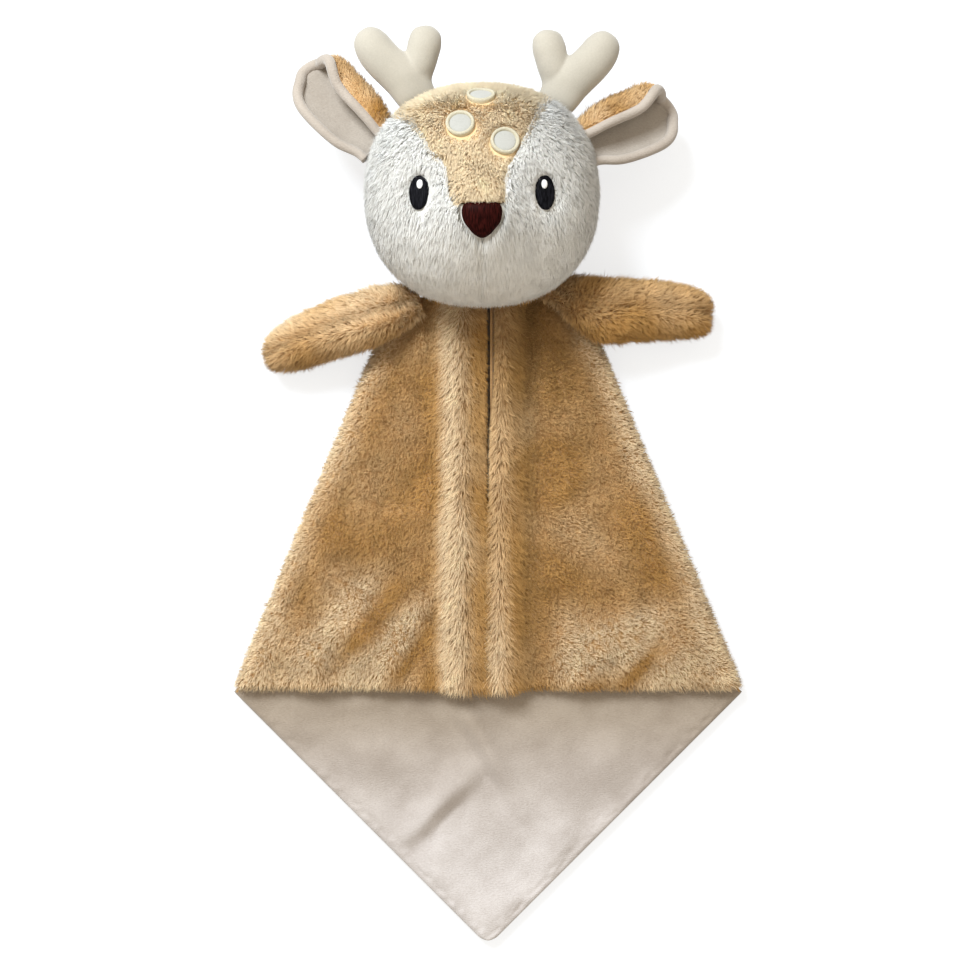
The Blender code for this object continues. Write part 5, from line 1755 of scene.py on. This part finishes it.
@dataclass
class Neck:
    """The gathered neck: a short stuffed roll of plush between the head and the blanket."""

    middle: Triple = (-0.8 * MM, 120.5 * MM, 11.5 * MM)
    half: Triple = (33.6 * MM, 18.5 * MM, 8.5 * MM)
    corner: float = 0.5
    bulge: float = 0.55
    flatness: float = 0.8
    pleats: int = 15
    pleat_height: float = 0.035
    pile: Pile = Pile(CARAMEL_PILE, 3.2 * MM, 0.58 * MM, 1.6e6, seed=501)

    def surface(self) -> Surface:
        """A squared cushion with soft pleats, whose corners fill the nooks by the chin and the arms."""
        rise = np.linspace(-math.pi / 2, math.pi / 2, 40)[:, None]
        turn = full_turn(121)[None]
        round_out = squared(np.cos(rise), self.bulge)
        gather = 1 + self.pleat_height * np.cos(self.pleats * turn) * np.cos(rise)
        x = self.half[0] * round_out * squared(np.cos(turn), self.corner) * gather
        y = self.half[1] * round_out * squared(np.sin(turn), self.corner) * gather
        z = self.half[2] * squared(np.sin(rise), self.flatness)
        return Surface(xyz(x, y, z) + np.array(self.middle)).outward(np.array(self.middle))

    def build(self) -> None:
        """Builds the neck's cloth and its pile."""
        surface = self.surface()
        cloth = surface.cloth("neck_cloth", CARAMEL_CLOTH, 0)
        roots = surface.scatter(self.pile.density, 502)
        grown = self.pile.grow("neck_pile", roots, brushed_to((0, -0.6, 0)))
        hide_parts("neck_pad")
        for piece in (cloth, grown):
            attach(piece, "neck")


@dataclass
class Arm:
    """A stuffed arm of two plush panels, its seam parted along its front and round its paw.

    keys gives, by the distance from the root in millimetres: how far the middle lies towards the head, half
    the width of the cloth, the depth as a share, and the height of the middle.
    """

    side: int
    root: Tuple[float, float]
    turn: float
    keys: Keys
    half_depth: float = 9.4 * MM
    squareness: float = 2.3
    fuller: float = 0.8 * MM
    pile: Pile = Pile(
        CARAMEL_PILE, 4.4 * MM, 0.3 * MM, 5.6e6, seed=601,
        tufts=((1.6 * MM, 0.26), (5 * MM, 0.24), (12 * MM, 0.18)), soft=0.8,
    )

    def panel(self, low: float, high: float) -> Surface:
        """The skin between two angles round the arm; 90 degrees is its front.

        The section is a squared oval whose size and height follow the keys. Its seam groove is a bell at the
        front and the back, deeper at the paw, where it notches the end.
        """
        table = np.array(self.keys, float)
        ends = table[[0, -1], 0]
        paw = 1 - 0.1 * np.cos(np.linspace(0, math.pi / 2, 22))[1:]
        share = np.concatenate([np.linspace(0, 0.9, 60), paw])
        along = ends[0] + (ends[1] - ends[0]) * share
        shift, wide, deep, height = through(table, along).T
        wide, deep = np.maximum(wide, 0) * MM, np.maximum(deep, 0)
        wide = wide + self.fuller * ease(0, 3 * MM, wide)
        angle = np.linspace(low, high, 34)
        power = 2 / self.squareness
        across, up = squared(np.cos(angle), power), squared(np.sin(angle), power)
        groove = bell(np.cos(angle), 0.22)[None] * (1.7 + 1.0 * ease(0.8, 1, share))[:, None] * MM
        y = wide[:, None] * across + self.side * shift[:, None] * MM
        radius = np.maximum(self.half_depth * deep[:, None] - groove, 0)
        z = height[:, None] * MM + radius * up
        notch = 3 * MM * ease(0.86, 1, share)[:, None] * bell(np.cos(angle), 0.4)[None]
        x = along[:, None] * MM - notch
        cosine, sine = math.cos(self.turn), math.sin(self.turn)
        turned = xyz(x * cosine - y * sine, x * sine + y * cosine, z)
        place = np.array((*self.root, 0))
        middle = place + np.array((cosine, sine, 0)) * 40 * MM + UP * 16 * MM
        return Surface(turned + place).outward(middle)

    def build(self, word: str) -> None:
        """Builds both panels with their pile, and hangs them on the arm's body."""
        ahead = np.array((math.cos(self.turn), math.sin(self.turn), 0))
        aside = np.array((-math.sin(self.turn), math.cos(self.turn), 0))
        place = np.array((*self.root, 0))

        def lie(found: Roots) -> Array:
            """The pile is brushed to the paw and away from the seam."""
            off = (found.places - place) @ aside
            parting = np.tanh(off / (2.5 * MM)) * bell(off, 9 * MM) * (found.normals[:, 2] > 0)
            return ahead * 0.75 + aside * (parting * 0.85)[:, None]

        def tint(found: Roots) -> Array:
            """The pile is paler on the side that is brushed up to the head, most of all on the left arm."""
            off = (found.places - place) @ aside * self.side
            pale = (0.14 if self.side > 0 else 0.42) + 0.16 * np.tanh(off / (6 * MM))
            return creamed((pale + Waves(22 * MM, 603, 0.1).at(found.places)).clip(0, 1))

        quarter = math.pi / 2
        names = ("upper", "lower") if self.side > 0 else ("lower", "upper")
        for number, panel in enumerate(names):
            low = (2 * number - 1) * quarter
            surface = self.panel(low, low + 2 * quarter)
            cloth = surface.cloth(f"arm_{word}_{panel}_cloth", CARAMEL_CLOTH, 0.9 * MM)
            roots = surface.scatter(self.pile.density, 610 + number + self.side)
            grown = self.pile.grow(f"arm_{word}_{panel}_pile", roots, lie, tint=tint)
            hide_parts(*([f"arm_{word}_{panel}"] + ([f"arm_{word}_stuffing"] if number else [])))
            for piece in (cloth, grown):
                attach(piece, f"arm_{word}")
            log.info("arm_%s_%s: %d fibres", word, panel, len(roots.places))


LEFT_ARM: Keys = (
    (-2, 7.3, 3.5, 0.3, 19.5), (4, 7.2, 6.5, 0.42, 20.5), (12, 6.0, 8.8, 0.6, 22.3),
    (24, 4.4, 10.3, 0.8, 23), (40, 3.3, 10.0, 0.98, 19), (53, 2.0, 9.4, 1.0, 15),
    (62, 0.6, 8.5, 0.95, 13), (68, -0.5, 7.0, 0.82, 12.2), (72, -1.3, 5.0, 0.62, 12),
    (74.3, -1.8, 3.0, 0.4, 12), (75, -2.0, 0, 0, 12),
)
RIGHT_ARM: Keys = (
    (-8.5, 10.2, 1.6, 0.2, 18.5), (-2, 9.5, 3.5, 0.3, 19.5), (2, 8.0, 5.5, 0.4, 20.5),
    (9, 4.8, 9.0, 0.58, 22.3), (20, 0.8, 12.0, 0.8, 23), (36, 1.6, 11.4, 0.98, 19),
    (52, 2.6, 10.3, 1.0, 14.5), (62, 2.6, 9.0, 0.95, 12.8), (68, 2.0, 7.6, 0.82, 12.2),
    (70.8, 1.6, 6.2, 0.66, 12), (71.8, 1.4, 4.4, 0.45, 12), (72, 1.4, 0, 0, 12),
)


# Studio

@dataclass
class Studio:
    """A pale floor, a large soft lamp from the upper left and a camera that looks straight down."""

    aim: Tuple[float, float] = (-3.9 * MM, 14.66 * MM)
    distance: float = 0.85
    view_width: float = 0.469
    sensor: float = 36.0
    sun_place: Triple = (-0.44, 0.72, 0.9)
    sun_size: float = 0.42
    sun_power: float = 16.5
    sun_colour: Triple = (0.9, 0.965, 1.0)
    sky: float = 0.74
    sky_colour: Triple = (1.0, 0.91, 0.76)
    floor_reach: float = 3.0
    floor_colour: Triple = (0.36, 0.38, 0.42)
    floor_glow: float = 0.72

    def build(self) -> None:
        """Builds the floor, the lamps, the world and the camera."""
        self._floor()
        self._lamp()
        self._sky()
        bpy.context.scene.view_settings.view_transform = "Standard"
        camera = bpy.data.cameras.new("camera")
        camera.sensor_width = self.sensor
        camera.lens = self.sensor * self.distance / self.view_width
        camera.clip_end = 10
        seen = added("camera", camera)
        seen.location = (*self.aim, self.distance)
        bpy.context.scene.camera = seen

    def _lamp(self) -> None:
        """A square area lamp, turned to the middle of the blanket."""
        lamp = bpy.data.lights.new("window_light", "AREA")
        lamp.shape = "SQUARE"
        lamp.size = self.sun_size
        lamp.energy = self.sun_power
        lamp.color = self.sun_colour
        place = np.array(self.sun_place)
        matrix = frame_at(place, np.cross(UP, place), place)
        added("window_light", lamp).matrix_world = Matrix(matrix.tolist())

    def _sky(self) -> None:
        """A warm, even sky that lights the toy, and that the camera sees as plain white."""
        world = bpy.data.worlds.new("studio_world")
        world.use_nodes = True
        graph = world.node_tree
        lit = graph.nodes["Background"]
        set_inputs(lit, Color=(*self.sky_colour, 1), Strength=self.sky)
        white = add_node(graph, "Background", Color=(1, 1, 1, 1))
        either = add_node(graph, "MixShader")
        path = add_node(graph, "LightPath")
        graph.links.new(path.outputs["Is Camera Ray"], either.inputs[0])
        graph.links.new(lit.outputs["Background"], either.inputs[1])
        graph.links.new(white.outputs["Background"], either.inputs[2])
        graph.links.new(either.outputs["Shader"], graph.nodes["World Output"].inputs["Surface"])
        bpy.context.scene.world = world

    def _floor(self) -> None:
        """A wide pale floor. Camera and gloss rays also see it glow, so it is white with the shadow kept."""
        reach = self.floor_reach
        mesh = bpy.data.meshes.new("floor")
        corners = [(-reach, -reach, 0), (reach, -reach, 0), (reach, reach, 0), (-reach, reach, 0)]
        mesh.from_pydata(corners, [], [(0, 1, 2, 3)])
        made, shader, graph = new_material("pale_floor")
        set_inputs(shader, Base_Color=(*self.floor_colour, 1), Roughness=0.9, Specular_IOR_Level=0.0)
        path = add_node(graph, "LightPath")
        seen = path.outputs["Is Camera Ray"]
        for kind in ("Is Glossy Ray", "Is Transmission Ray"):
            either = add_node(graph, "Math")
            either.operation = "MAXIMUM"
            graph.links.new(seen, either.inputs[0])
            graph.links.new(path.outputs[kind], either.inputs[1])
            seen = either.outputs[0]
        glow = add_node(graph, "Emission", Color=(1, 1, 1, 1))
        strength = add_node(graph, "Math")
        strength.operation = "MULTIPLY"
        strength.inputs[1].default_value = self.floor_glow
        graph.links.new(seen, strength.inputs[0])
        graph.links.new(strength.outputs[0], glow.inputs["Strength"])
        both = add_node(graph, "AddShader")
        graph.links.new(shader.outputs["BSDF"], both.inputs[0])
        graph.links.new(glow.outputs["Emission"], both.inputs[1])
        output = graph.nodes["Material Output"]
        graph.links.new(both.outputs["Shader"], output.inputs["Surface"])
        mesh.materials.append(made)
        floor = added("floor", mesh)


def main() -> None:
    logging.basicConfig(level=logging.INFO, format="%(message)s")
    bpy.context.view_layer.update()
    Studio().build()
    Blanket().build()
    Head().build()
    Neck().build()
    Ear(-1, (-49.05 * MM, 26 * MM, 2.05 * MM), (-0.68, 0.72, -0.17)).build("left")
    Ear(1, (51 * MM, 26 * MM, 2.05 * MM), (0.83, 0.4, -0.385)).build("right")
    Antler(-1, (-28.3 * MM, 42.4 * MM, 4.1 * MM), -2 * DEG).build("left")
    Antler(1, (33.2 * MM, 41.4 * MM, 3.3 * MM), 8 * DEG).build("right")
    Arm(-1, (-32.5 * MM, 92.3 * MM), 192.5 * DEG, LEFT_ARM).build("left")
    Arm(1, (33 * MM, 95.5 * MM), -2.5 * DEG, RIGHT_ARM).build("right")


if __name__ == "__main__":
    main()
